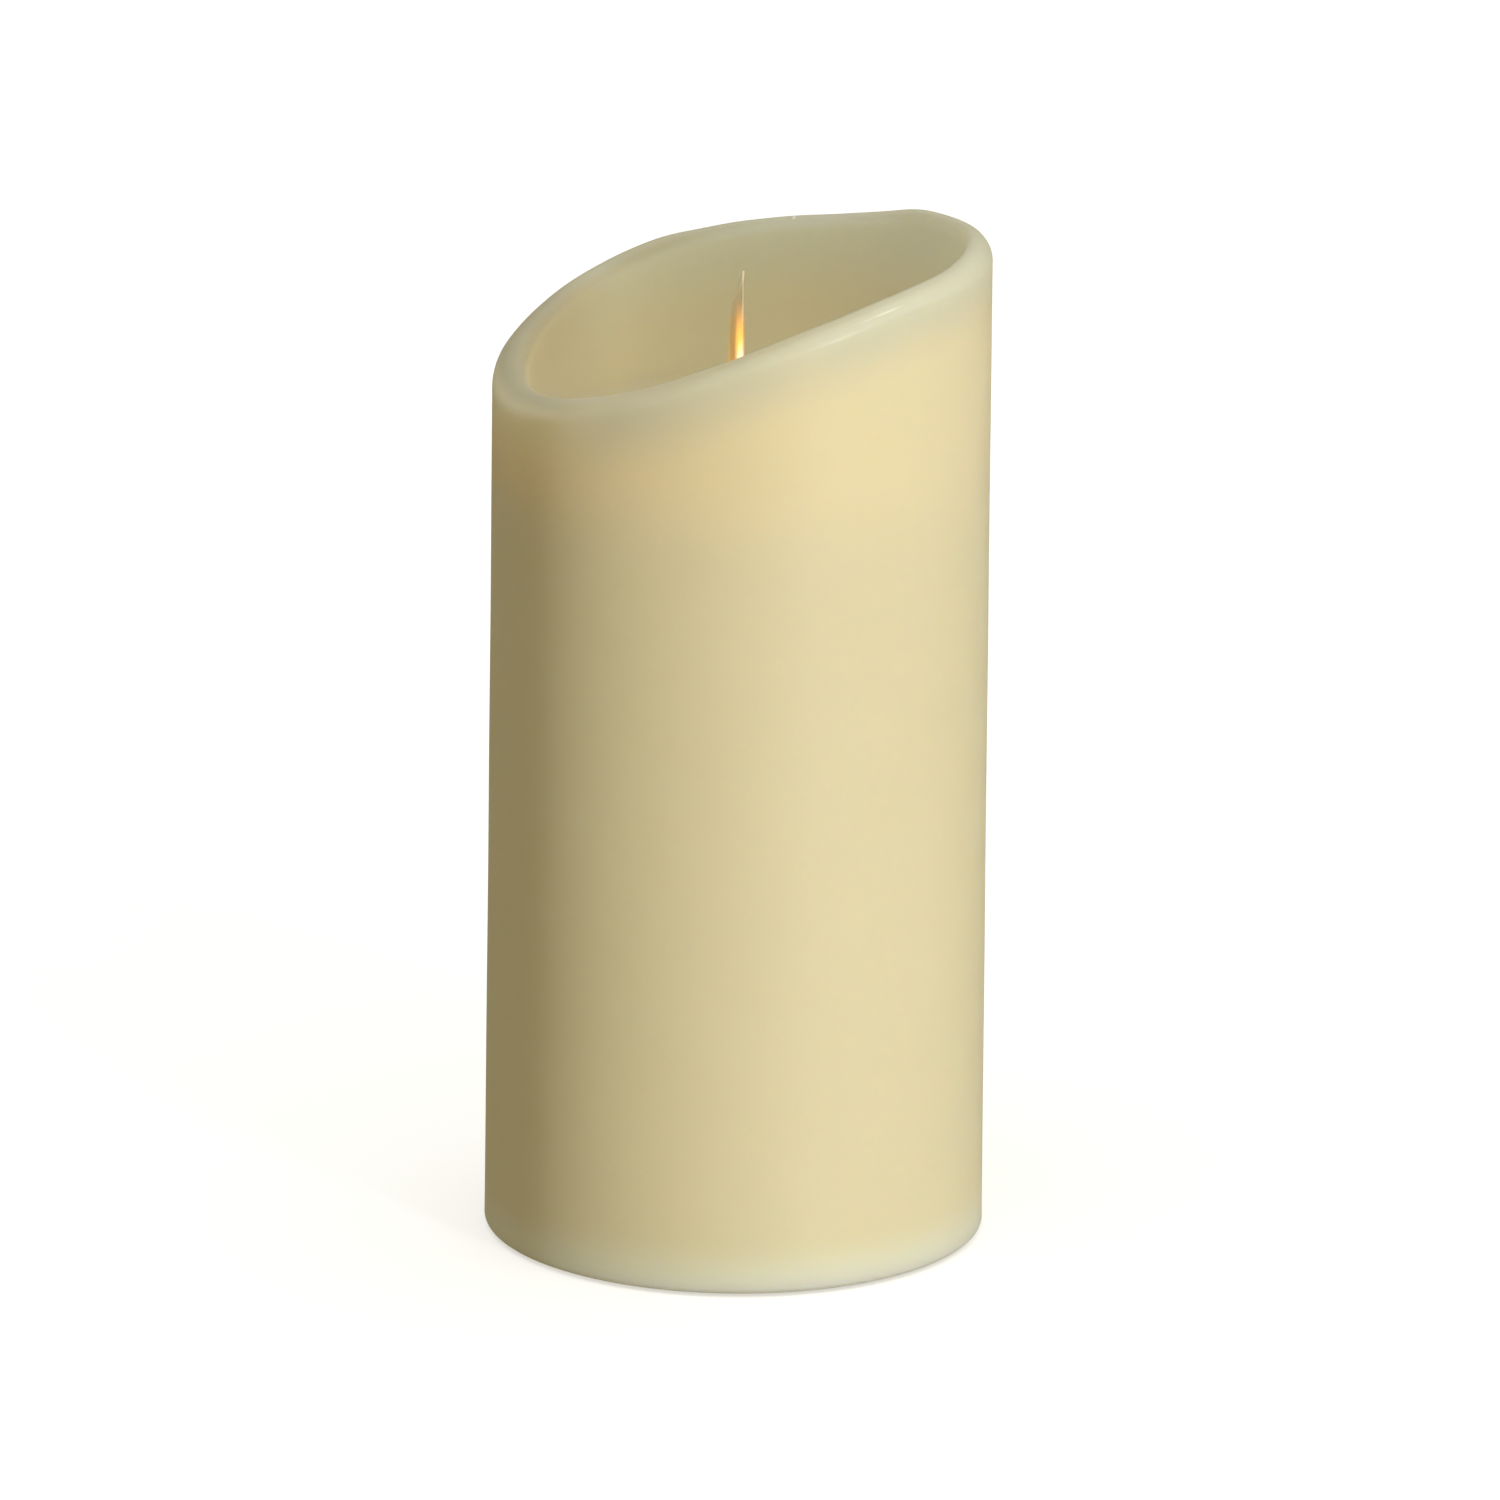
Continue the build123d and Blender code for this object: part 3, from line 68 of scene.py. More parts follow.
# Cosine and sine parts of the rim's height: the lean, then two, three and four waves round the candle
RIM_WAVES = ((-0.1, 12.2), (1.3, 2.0), (0.25, -0.2), (-0.1, 0.3))
# The rim is crisp round one side, at an angle and a half width in degrees, and melts into the well elsewhere.
# Each pair is a crisp and a melted value: the outer rounding, and the inner rounding's share of the rest of
# the wall and its depth
RIM_CRISP_ANGLE, RIM_CRISP_HALF, RIM_CRISP_FADE = 6, 30, 55
RIM_OUTER_ROUND, RIM_INNER_SHARE, RIM_INNER_DEPTH = (2.0, 3.2), (0.75, 0.9), (2.6, 3.2)
# Soft bumps and dips on the rim: angle and width in degrees, height in mm
RIM_BUMPS = (
    (62, 9, -0.2), (131, 8, 0.55), (156, 11, -0.3), (200, 7, 0.2),
    (258, 9, 0.35), (262, 30, 0.7), (285, 14, -0.3),
)
RIM_RIPPLE, INNER_RIPPLE, FLOOR_RIPPLE = 0.07, 0.06, 0.09
# A thin ridge left along the rim's outer edge on the +X side, and a small raised chip on the -X side. Their
# angles, and the chip's width round the rim, are in degrees
RIDGE_ANGLES, RIDGE_R, RIDGE_WIDTH, RIDGE_HEIGHT = (23, 42), 43.35, 0.18, 0.03
CHIP_ANGLE, CHIP_WIDTH, CHIP_R, CHIP_DEPTH, CHIP_HEIGHT = 167, 0.7, 39.75, 0.35, 0.2
# The outer wall is hardly uneven: the size of its swells, their limit, and the share of them that shows
WALL_SWELL, SWELL_LIMIT, SWELL_SHARE = 0.03, 0.09, 0.6
# The well's floor is even up to this far from the cap, and its ripple grows over this distance
CAP_CLEAR, RIPPLE_FADE = 0.5, 3.0
# Height of an extra ring of points half-way up the bore
BORE_RING_Z = 70.0

# Points round the candle, and rows on each stretch of its section
AROUND = 720
BASE_EDGE_ROWS, WALL_ROWS, RIM_ROWS, WELL_ROWS, CORNER_ROWS, FLOOR_ROWS = 7, 74, 41, 34, 9, 12

# ------------------------------------------- where the materials change (metres)
# Each pair is where a change starts and ends: by depth below the rim, by height, by radius, or along X or Y
# The first pair sets the painted shade under the rim, the second the painted shade on the rim's top face, and
# the third the painted light at the foot.
RIM_SHADE_DEPTH, TOP_FACE_DEPTH, FOOT_LIGHT_Z = (0.001, 0.016), (-0.0002, 0.0022), (0.001, 0.011)
WELL_EDGE_R, WELL_EDGE_DEPTH = (0.0385, 0.0412), (-0.0006, 0.0014)
# The well is painted lighter and cooler down to the first depth below the rim, and painted darker on its low
# side from the second.
WELL_LIGHT_DEPTH, WELL_SHADE_DEPTH = (0.002, 0.018), (-0.0010, 0.0022)
# The low and far sides are where the rim's top face gets painted shade; the low side also gets the well's
# painted shade and the paler painted light under the rim.
LOW_SIDE_Y, FAR_SIDE_X = (-0.036, -0.020), (-0.036, -0.024)
# The scars and the painted highlight along the ridge are on the rim alone, so they are only painted above
# this height
SCAR_Z = (0.150, 0.160)
# The lamp's light painted on the flame: its hollow side and its back along Y, then its foot, top, white part,
# painted edge highlight and plain top up Z
FLAME_HOLLOW_Y, FLAME_BACK_Y = (-0.0016, -0.0005), (-0.0001, 0.0003)
FLAME_FOOT_Z, FLAME_TOP_Z, FLAME_WHITE_Z = (0.118, 0.140), (0.1625, 0.1730), (0.1595, 0.1650)
FLAME_HIGHLIGHT_Z, FLAME_TAN_Z = (0.1660, 0.1700), (0.1640, 0.1740)


# ------------------------------------------------------------------ mesh helpers
def add_mesh(name, verts, faces, body, material, sharp_deg=38):
    """A smooth mesh object from millimetre points, riding on a CAD body."""
    mesh = bpy.data.meshes.new(name)
    mesh.from_pydata((np.asarray(verts) * MM).tolist(), [], faces)
    mesh.polygons.foreach_set("use_smooth", [True] * len(mesh.polygons))
    mesh.set_sharp_from_angle(angle=math.radians(sharp_deg))
    mesh.materials.append(material)
    obj = bpy.data.objects.new(name, mesh)
    bpy.context.scene.collection.objects.link(obj)
    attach(obj, body)
    return obj


def ring_faces(rows, around):
    """Quads of a closed surface whose rows and columns both wrap round."""
    faces = []
    for i in range(rows):
        j = (i + 1) % rows
        for k in range(around):
            n = (k + 1) % around
            faces.append((i * around + k, i * around + n, j * around + n, j * around + k))
    return faces


def smooth_step(x):
    """0 below 0, 1 above 1, and a smooth rise between."""
    x = np.clip(x, 0.0, 1.0)
    return x * x * (3 - 2 * x)


def waves(phi, counts, size, seed):
    """A sum of sine waves round the candle with fixed random phases."""
    phases = np.random.default_rng(seed).uniform(0, 2 * math.pi, len(counts))
    total = sum(np.sin(n * phi + p) / math.sqrt(n) for n, p in zip(counts, phases))
    return size * total


# --------------------------------------------------------------------- materials
def new_material(name, **constants):
    """A material with a Principled shader whose constant values sit on its own sockets."""
    material = bpy.data.materials.new(name)
    material.use_nodes = True
    shader = material.node_tree.nodes["Principled BSDF"]
    for socket, value in constants.items():
        shader.inputs[socket.replace("_", " ")].default_value = value
    return material, material.node_tree, shader


def node(tree, kind, inputs=None, **settings):
    """A shader node with settings, and inputs that are values or other nodes' outputs."""
    made = tree.nodes.new(kind)
    for key, value in settings.items():
        setattr(made, key, value)
    for key, value in (inputs or {}).items():
        if isinstance(value, bpy.types.NodeSocket):
            tree.links.new(value, made.inputs[key])
        else:
            made.inputs[key].default_value = value
    return made


def place(tree):
    """Object coordinates, which are metres in the row frame on every piece."""
    return node(tree, "ShaderNodeTexCoord").outputs["Object"]


def axes(tree):
    """The object coordinates split into X, Y and Z."""
    return node(tree, "ShaderNodeSeparateXYZ", {"Vector": place(tree)}).outputs


def noise(tree, scale, detail=3.0, stretch=None):
    """Noise of this many cycles per metre, stretched along an axis if asked."""
    where = place(tree)
    if stretch:
        where = node(tree, "ShaderNodeMapping", {"Vector": where, "Scale": stretch}).outputs["Vector"]
    inputs = {"Vector": where, "Scale": scale, "Detail": detail, "Roughness": 0.55}
    return node(tree, "ShaderNodeTexNoise", inputs).outputs["Fac"]


def math_node(tree, operation, *values):
    """A math node on numbers or outputs."""
    return node(tree, "ShaderNodeMath", dict(enumerate(values)), operation=operation).outputs[0]


def times(tree, first, second):
    """Two numbers or outputs multiplied."""
    return math_node(tree, "MULTIPLY", first, second)


def vector_math(tree, operation, output, *values):
    """One output of a vector math node on vectors or outputs."""
    return node(tree, "ShaderNodeVectorMath", dict(enumerate(values)), operation=operation).outputs[output]


def level_distance(tree, centre=(0, 0)):
    """Distance from the upright axis through a point."""
    level = vector_math(tree, "MULTIPLY", "Vector", place(tree), (1, 1, 0))
    return vector_math(tree, "DISTANCE", "Value", level, (centre[0], centre[1], 0))


def span(tree, value, low, high, to_low=0.0, to_high=1.0):
    """A value mapped smoothly from one range to another, and held at its ends."""
    inputs = {"Value": value, "From Min": low, "From Max": high, "To Min": to_low, "To Max": to_high}
    return node(tree, "ShaderNodeMapRange", inputs, interpolation_type="SMOOTHSTEP").outputs["Result"]


def near(tree, value, centre, half_width):
    """1 where a value is at a centre, falling to 0 at a distance from it."""
    away = math_node(tree, "ABSOLUTE", math_node(tree, "SUBTRACT", value, centre))
    return span(tree, away, half_width * 0.3, half_width, 1.0, 0.0)


def patches(tree, scale, low=0.0, high=1.0, detail=3.0):
    """Soft patches of noise, spread between two values."""
    return span(tree, noise(tree, scale, detail), 0.3, 0.7, low, high)


def mix(tree, share, first, second):
    """Two colours mixed by a share."""
    made = node(tree, "ShaderNodeMix", data_type="RGBA", clamp_factor=True)
    for index, value in ((0, share), (6, first), (7, second)):
        if isinstance(value, bpy.types.NodeSocket):
            tree.links.new(value, made.inputs[index])
        else:
            made.inputs[index].default_value = value if index == 0 else (*value, 1.0)
    return made.outputs[2]


def drive(tree, shader, **sockets):
    """Links outputs to the shader's sockets."""
    for socket, value in sockets.items():
        tree.links.new(value, shader.inputs[socket.replace("_", " ")])


def bump(tree, shader, *layers):
    """Chained bump nodes: each layer is a height, a strength and a depth in metres."""
    normal = None
    for height, strength, depth in layers:
        inputs = {"Height": height, "Strength": strength, "Distance": depth}
        if normal is not None:
            inputs["Normal"] = normal
        normal = node(tree, "ShaderNodeBump", inputs).outputs["Normal"]
    drive(tree, shader, Normal=normal)


def srgb(*levels):
    """A linear colour from sRGB values of 0 to 255."""
    shares = [level / 255 for level in levels]
    return tuple(v / 12.92 if v <= 0.04045 else ((v + 0.055) / 1.055) ** 2.4 for v in shares)


# The foot colour is paler: painted light shining through the thin foot.
WAX_BODY, WAX_WARM, WAX_FOOT_LIGHT = srgb(235, 223, 185), srgb(230, 213, 168), srgb(243, 238, 212)
# Painted light and shade at the rim: the greyer rim colour is painted shade, the paler low-side rim colour is
# painted light, and the darker top colour is painted shade.
WAX_RIM_SHADE, WAX_LOW_RIM_LIGHT, WAX_TOP_SHADE = srgb(214, 213, 190), srgb(236, 232, 208), srgb(190, 188, 164)
# The well's top colour is painted light, paler and cooler; its low colour is painted shade, darker.
WAX_WELL, WAX_WELL_TOP_LIGHT, WAX_WELL_LOW_SHADE = srgb(225, 223, 202), srgb(228, 233, 222), srgb(205, 205, 189)
# A pale scar colour that is also a painted highlight along the ridge.
WAX_SCAR_GLINT = srgb(252, 250, 232)


def rim_scar_and_glint(tree, radius, angle, z):
    """The pale line along the ridge on the rim's shoulder, a scar with a painted highlight, broken and fading
    at its ends, and the chip.
    """
    start, stop = (math.radians(a) for a in RIDGE_ANGLES)
    along = times(tree, span(tree, angle, start, start + 0.25), span(tree, angle, stop - 0.1, stop, 1, 0))
    line = near(tree, radius, RIDGE_R * MM, RIDGE_WIDTH * MM)
    broken = span(tree, noise(tree, 240.0, 2.0), 0.35, 0.6, 0.15, 0.6)
    ridge = times(tree, times(tree, along, line), broken)
    chip = near(tree, angle, math.radians(CHIP_ANGLE), math.radians(CHIP_WIDTH))
    chip = times(tree, chip, near(tree, radius, CHIP_R * MM, 0.6 * MM))
    return times(tree, math_node(tree, "MAXIMUM", ridge, chip), span(tree, z, *SCAR_Z))


def depth_below_rim(tree, angle, z):
    """Depth below the rim, whose height here is only its lean and its double wave."""
    depth = math_node(tree, "SUBTRACT", RIM_MEAN * MM, z)
    for n, sizes in enumerate(RIM_WAVES[:2], start=1):
        turn = times(tree, angle, n)
        for operation, size in zip(("COSINE", "SINE"), sizes):
            depth = math_node(tree, "ADD", depth, times(tree, math_node(tree, operation, turn), size * MM))
    return depth


def wall_colour(tree, z, low_side, below_rim):
    """The outer wall: ivory with warm blotches; painted shade makes it greyer near the rim, painted light
    makes it paler there on the low side and paler at the foot.
    """
    # Painted shade: greyer just under the rim, where the wall is thin over the well.
    thin = span(tree, below_rim, *RIM_SHADE_DEPTH, 1.0, 0.0)
    clouded = math_node(tree, "ADD", thin, span(tree, noise(tree, 38.0, 4.0), 0.35, 0.75, -0.08, 0.12))
    # Painted light: on the low side the band under the rim is paler, as if lit through the thin wall.
    colour = mix(tree, clouded, WAX_BODY, mix(tree, low_side, WAX_RIM_SHADE, WAX_LOW_RIM_LIGHT))
    # Painted light: paler at the foot.
    colour = mix(tree, span(tree, z, *FOOT_LIGHT_Z, 0.85, 0.0), colour, WAX_FOOT_LIGHT)
    blotch = span(tree, noise(tree, 14.0, 3.0, stretch=(1, 1, 0.5)), 0.4, 0.75, 0.0, 0.22)
    return mix(tree, blotch, colour, WAX_WARM)


def well_colour(tree, low_side, below_rim):
    """The well: painted light makes it cooler and paler towards its top, and painted shade makes it darker on
    its low side.
    """
    # Painted light: cooler and paler towards the top of the well.
    colour = mix(tree, span(tree, below_rim, *WELL_LIGHT_DEPTH, 1.0, 0.0), WAX_WELL, WAX_WELL_TOP_LIGHT)
    # Painted shade: darker on the well's low side.
    shaded = times(tree, low_side, span(tree, below_rim, *WELL_SHADE_DEPTH))
    return mix(tree, shaded, colour, WAX_WELL_LOW_SHADE)


def wax_material():
    """Satin, slightly translucent wax with painted light and shade at the rim, in the well and at the foot.
    """
    material, tree, shader = new_material(
        "ivory_wax", IOR=1.43, Specular_IOR_Level=0.3, Coat_Weight=0.04, Coat_Roughness=0.3,
        Subsurface_Weight=1.0, Subsurface_Radius=(1.0, 0.84, 0.6), Subsurface_Scale=0.010,
    )
    x, y, z = axes(tree)
    angle, radius = math_node(tree, "ARCTAN2", y, x), level_distance(tree)
    below_rim = depth_below_rim(tree, angle, z)
    low_side = span(tree, y, *LOW_SIDE_Y, 1.0, 0.0)
    far_side = span(tree, x, *FAR_SIDE_X, 0.5, 0.0)
    at_well = span(tree, radius, *WELL_EDGE_R, 1.0, 0.0)
    inside = times(tree, at_well, span(tree, below_rim, *WELL_EDGE_DEPTH, 0.3, 1.0))
    outer, inner = wall_colour(tree, z, low_side, below_rim), well_colour(tree, low_side, below_rim)
    # Painted shade: the rim's top face is darker on its low side and on its far side.
    top_face = span(tree, below_rim, *TOP_FACE_DEPTH, 0.9, 0.0)
    painted_top_shade = times(tree, math_node(tree, "MAXIMUM", low_side, far_side), top_face)
    colour = mix(tree, painted_top_shade, mix(tree, inside, outer, inner), WAX_TOP_SHADE)
    # Pale scar and painted highlight along the ridge, and the pale chip.
    colour = mix(tree, rim_scar_and_glint(tree, radius, angle, z), colour, WAX_SCAR_GLINT)
    drive(tree, shader, Base_Color=colour, Roughness=patches(tree, 160.0, 0.40, 0.55, detail=4.0))
    scratches = span(tree, noise(tree, 90.0, 2.0, stretch=(6.0, 6.0, 0.5)), 0.68, 0.76)
    bump(
        tree, shader,
        (noise(tree, 32.0, 2.0), 0.35, 0.0010),
        (noise(tree, 900.0, 3.0), 0.10, 0.0002),
        (scratches, 0.10, 0.0002),
    )
    return material


def plastic(name, colour, rough=0.5, grain=2500.0, tint=0.06, sheen_wear=0.1):
    """Moulded plastic: fine texture, slight colour drift and faint handling marks."""
    material, tree, shader = new_material(name, IOR=1.49)
    darker = tuple(c * (1 - tint) for c in colour)
    lighter = tuple(min(1.0, c * (1 + tint)) for c in colour)
    rub = noise(tree, 260.0, 5.0, stretch=(1.0, 2.5, 1.0))
    drive(
        tree, shader,
        Base_Color=mix(tree, patches(tree, 120.0, detail=4.0), darker, lighter),
        Roughness=span(tree, rub, 0.3, 0.75, rough - sheen_wear, rough + 0.08),
    )
    bump(tree, shader, (noise(tree, grain, 2.0), 0.18, 0.0001), (noise(tree, 70.0, 2.0), 0.08, 0.0004))
    return material


def metal(name, colour, rough=0.3, stretch=(1.0, 1.0, 1.0), grain=900.0):
    """Plated metal: brushed along the stretch, with uneven polish and dull spots."""
    material, tree, shader = new_material(name, Metallic=1.0)
    brushed = noise(tree, grain, 4.0, stretch=stretch)
    dull = span(tree, noise(tree, 300.0, 4.0), 0.45, 0.75)
    drive(
        tree, shader,
        Base_Color=mix(tree, dull, colour, tuple(c * 0.78 for c in colour)),
        Roughness=span(tree, brushed, 0.25, 0.75, rough - 0.08, rough + 0.12),
    )
    bump(tree, shader, (brushed, 0.12, 0.0001))
    return material


def flame_material():
    """Frosted sheet with the lamp's light painted on as its own glow: white low on its hollow side, then
    orange, then plain, with a painted highlight along its edge.
    """
    material, tree, shader = new_material(
        "lit_flame_sheet", IOR=1.45, Roughness=0.3,
        Subsurface_Weight=0.4, Subsurface_Radius=(0.004, 0.002, 0.001), Subsurface_Scale=0.5,
    )
    _, y, z = axes(tree)
    core = times(tree, span(tree, y, *FLAME_HOLLOW_Y, 0.05, 1.0), span(tree, y, *FLAME_BACK_Y, 1.0, 0.3))
    lit = times(tree, span(tree, z, *FLAME_TOP_Z, 1.0, 0.0), span(tree, z, *FLAME_FOOT_Z, 0.1, 1.0))
    # Painted light: the lamp's light on the sheet is the sheet's own glow, strongest low on its hollow side.
    lamp_glow = times(tree, times(tree, lit, core), patches(tree, 420.0, 0.92, 1.08))
    amber = mix(tree, span(tree, lamp_glow, 0.1, 0.65), (1.0, 0.28, 0.01), (1.0, 0.47, 0.05))
    white = times(tree, near(tree, y, -0.0002, 0.0011), span(tree, z, *FLAME_WHITE_Z, 1.0, 0.0))
    # Painted highlight: a thin pale line along the sheet's edge.
    edge = times(tree, near(tree, y, 0.00008, 0.00024), span(tree, z, *FLAME_HIGHLIGHT_Z))
    tan = mix(tree, span(tree, z, *FLAME_TAN_Z), srgb(240, 212, 158), srgb(236, 225, 196))
    drive(
        tree, shader,
        Base_Color=mix(tree, edge, tan, srgb(248, 241, 220)),
        Emission_Color=mix(tree, edge, mix(tree, white, amber, (1.0, 0.84, 0.60)), (1.0, 0.90, 0.66)),
        Emission_Strength=math_node(tree, "MAXIMUM", times(tree, lamp_glow, 1.3), times(tree, edge, 0.2)),
    )
    bump(tree, shader, (noise(tree, 1500.0, 2.0), 0.15, 0.0001))
    return material


def lamp_material():
    """Clear warm lamp body with a lit die in its middle."""
    material, tree, shader = new_material(
        "lamp_lens", IOR=1.5, Roughness=0.08, Transmission_Weight=0.6,
        Emission_Color=(*srgb(255, 196, 110), 1.0),
    )
    low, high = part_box("flame_led")
    distance = vector_math(tree, "DISTANCE", "Value", place(tree), tuple((low + high) / 2))
    drive(
        tree, shader,
        Base_Color=mix(tree, patches(tree, 500.0), srgb(255, 214, 140), srgb(255, 236, 190)),
        Emission_Strength=span(tree, distance, 0.0008, 0.0055, 6.0, 0.6),
    )
    return material


def winding_material():
    """Enamelled copper: fine turns shown as ridges up the coil, with painted shade darkening the grooves
    between them.
    """
    material, tree, shader = new_material(
        "enamelled_copper", Metallic=0.85, Coat_Weight=0.6, Coat_Roughness=0.12)
    turns = {"Vector": place(tree), "Scale": 780.0, "Distortion": 0.4}
    wave = node(tree, "ShaderNodeTexWave", turns, bands_direction="Z").outputs["Fac"]
    drive(
        tree, shader,
        # Painted shade: darker bands in the grooves between the turns.
        Base_Color=mix(tree, wave, srgb(120, 52, 20), srgb(212, 112, 58)),
        Roughness=patches(tree, 600.0, 0.22, 0.38),
    )
    bump(tree, shader, (wave, 0.6, 0.0001))
    return material


def board_material():
    """Green circuit board with darker and lighter tracks under its mask."""
    material, tree, shader = new_material("circuit_board", Coat_Weight=0.4, Coat_Roughness=0.15)
    inputs = {"Vector": place(tree), "Scale": 260.0, "Randomness": 0.35}
    cells = node(tree, "ShaderNodeTexVoronoi", inputs, feature="DISTANCE_TO_EDGE", distance="EUCLIDEAN")
    tracks = span(tree, cells.outputs["Distance"], 0.04, 0.07, 1.0, 0.0)
    drive(
        tree, shader,
        Base_Color=mix(tree, tracks, srgb(18, 82, 44), srgb(42, 118, 66)),
        Roughness=patches(tree, 700.0, 0.3, 0.42),
    )
    bump(tree, shader, (tracks, 0.4, 0.0001))
    return material


def cell_material(name, node_name, nub_up):
    """A cell's plain dark jacket with a copper-coloured band at its positive end, and bare steel ends."""
    material, tree, shader = new_material(name, Coat_Weight=0.5, Coat_Roughness=0.1)
    low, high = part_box(node_name)
    middle = (low + high) / 2
    along = math_node(tree, "SUBTRACT", axes(tree)["Z"], middle.z)
    if not nub_up:
        along = times(tree, along, -1.0)
    band = span(tree, along, 0.0112, 0.0114)
    line = times(tree, span(tree, along, 0.0098, 0.01), span(tree, along, 0.0106, 0.0104))
    bare = span(tree, level_distance(tree, middle), 0.0118, 0.0116)
    fleck = patches(tree, 380.0, 0.0, 0.25, detail=4.0)
    jacket = mix(tree, fleck, srgb(26, 26, 28), srgb(48, 48, 52))
    jacket = mix(tree, band, jacket, srgb(186, 104, 52))
    jacket = mix(tree, line, jacket, srgb(214, 210, 200))
    drive(
        tree, shader,
        Base_Color=mix(tree, bare, jacket, srgb(196, 196, 198)),
        Metallic=math_node(tree, "MAXIMUM", bare, times(tree, band, 0.6)),
        Roughness=patches(tree, 240.0, 0.24, 0.36, detail=4.0),
    )
    bump(tree, shader, (noise(tree, 1200.0), 0.1, 0.0001))
    return material


def rubber_material():
    """Dull soft pads with dust in their grain."""
    material, tree, shader = new_material("foot_rubber", IOR=1.5)
    dust = span(tree, noise(tree, 900.0, 5.0), 0.5, 0.72)
    drive(
        tree, shader,
        Base_Color=mix(tree, dust, srgb(44, 44, 45), srgb(86, 84, 80)),
        Roughness=span(tree, dust, 0, 1, 0.78, 0.92),
    )
    bump(tree, shader, (noise(tree, 2200.0, 2.0), 0.3, 0.0001))
    return material


def insulation(name, colour):
    """Glossy soft lead insulation, slightly wavy along its length."""
    return plastic(name, colour, rough=0.36, grain=1400.0, tint=0.12, sheen_wear=0.06)


def paint(name, material):
    """Gives a carried-over CAD node its finished material."""
    for slot in NODES[name].material_slots:
        slot.link = "OBJECT"
        slot.material = material


def paint_cad_nodes():
    """Every CAD node that stays in view gets its own kind of material."""
    ivory = plastic("ivory_plastic", srgb(226, 214, 184), rough=0.46)
    black = plastic("black_plastic", srgb(26, 26, 28), rough=0.5, tint=0.2)
    zinc = metal("zinc_screw", srgb(168, 168, 172), rough=0.34)
    nickel = metal("nickel_strip", srgb(206, 202, 192), rough=0.26, stretch=(0.2, 3.0, 1.0))
    groups = {
        ivory: ("well_cap", "base_cover", "battery_door", "battery_housing"),
        black: ("module_shell_left", "module_shell_right", "led_holder", "power_switch_slider"),
        plastic("switch_body_plastic", srgb(38, 38, 42), rough=0.4, tint=0.2): ("power_switch_body",),
        zinc: ("module_screws", "cap_screws", "board_screws", "base_screws"),
        nickel: ("positive_contact_plate", "negative_contact_plate", "door_contact_plate"),
        metal("spring_wire", srgb(190, 190, 194), rough=0.24, stretch=(1, 1, 6)): (
            "negative_contact_spring", "door_contact_spring", "flame_support_wire"),
        metal("magnet_plating", srgb(206, 206, 210), rough=0.18): ("flame_magnet",),
        metal("tinned_leg", srgb(196, 198, 202), rough=0.3, stretch=(3, 3, 0.2)): ("led_leads",),
        metal("solder", srgb(184, 188, 194), rough=0.28, grain=2400.0): ("board_solder_joints",),
        lamp_material(): ("flame_led",),
        plastic("bobbin_nylon", srgb(222, 216, 198), rough=0.4): ("coil_bobbin",),
        winding_material(): ("coil_winding",),
        board_material(): ("control_board",),
        plastic("chip_package", srgb(22, 22, 24), rough=0.55, grain=6000.0, tint=0.15): ("board_ic",),
        plastic("capacitor_sleeve", srgb(30, 38, 76), rough=0.28, tint=0.2): ("board_capacitor",),
        plastic("chip_ceramic", srgb(140, 112, 84), rough=0.6, grain=5000.0, tint=0.3): ("board_chip_parts",),
        insulation("red_insulation", srgb(170, 24, 18)): ("battery_lead_positive",),
        insulation("black_insulation", srgb(24, 24, 26)): ("battery_lead_negative",),
        insulation("yellow_insulation", srgb(206, 164, 52)): ("switch_leads",),
        rubber_material(): ("rubber_feet",),
        cell_material("cell_jacket_up", "battery_left", True): ("battery_left",),
        cell_material("cell_jacket_down", "battery_right", False): ("battery_right",),
        flame_material(): ("flame_blade",),
    }
    for material, names in groups.items():
        for name in names:
            paint(name, material)


# -------------------------------------------------------------------- wax pillar
def angle_from(phi, degrees):
    """Angle from a direction, between minus and plus half a turn."""
    return (phi - math.radians(degrees) + math.pi) % (2 * math.pi) - math.pi


def rim_height(radius, phi):
    """Height of the rim at a radius and angle: the lean and waves, soft bumps, and a fall outwards."""
    height = RIM_MEAN - RIM_FALL * ((radius / RIM_CREST_R) ** 2 - 1)
    for n, (cosine, sine) in enumerate(RIM_WAVES, start=1):
        height = height + cosine * np.cos(n * phi) + sine * np.sin(n * phi)
    for angle, width, size in RIM_BUMPS:
        height = height + size * np.exp(-(angle_from(phi, angle) / math.radians(width)) ** 2)
    return height + waves(phi, (7, 9, 13, 17, 24), RIM_RIPPLE, seed=3)


def well_radius(height):
    """Radius of the drafted well at a height."""
    return WELL_FLOOR_R + (height - FLOOR_Z) * WELL_DRAFT


def edge_drop(into):
    """Drop of a rounded edge as a share of its depth, at a share of its width."""
    return 1 - np.sqrt(1 - into**2 * 0.9999)


def rim_scars(radius, phi):
    """Height that the ridge and the chip add to the rim."""
    start, stop = (math.radians(a) for a in RIDGE_ANGLES)
    ridge = smooth_step((phi - start) / 0.08) * smooth_step((stop - phi) / 0.12)
    ridge = ridge * (0.75 + 0.25 * np.sin(37 * phi)) * RIDGE_HEIGHT
    chip = np.exp(-(((phi - math.radians(CHIP_ANGLE)) / math.radians(CHIP_WIDTH)) ** 2)) * CHIP_HEIGHT
    return (ridge * np.exp(-(((radius - RIDGE_R) / RIDGE_WIDTH) ** 2))
            + chip * np.exp(-(((radius - CHIP_R) / CHIP_DEPTH) ** 2)))


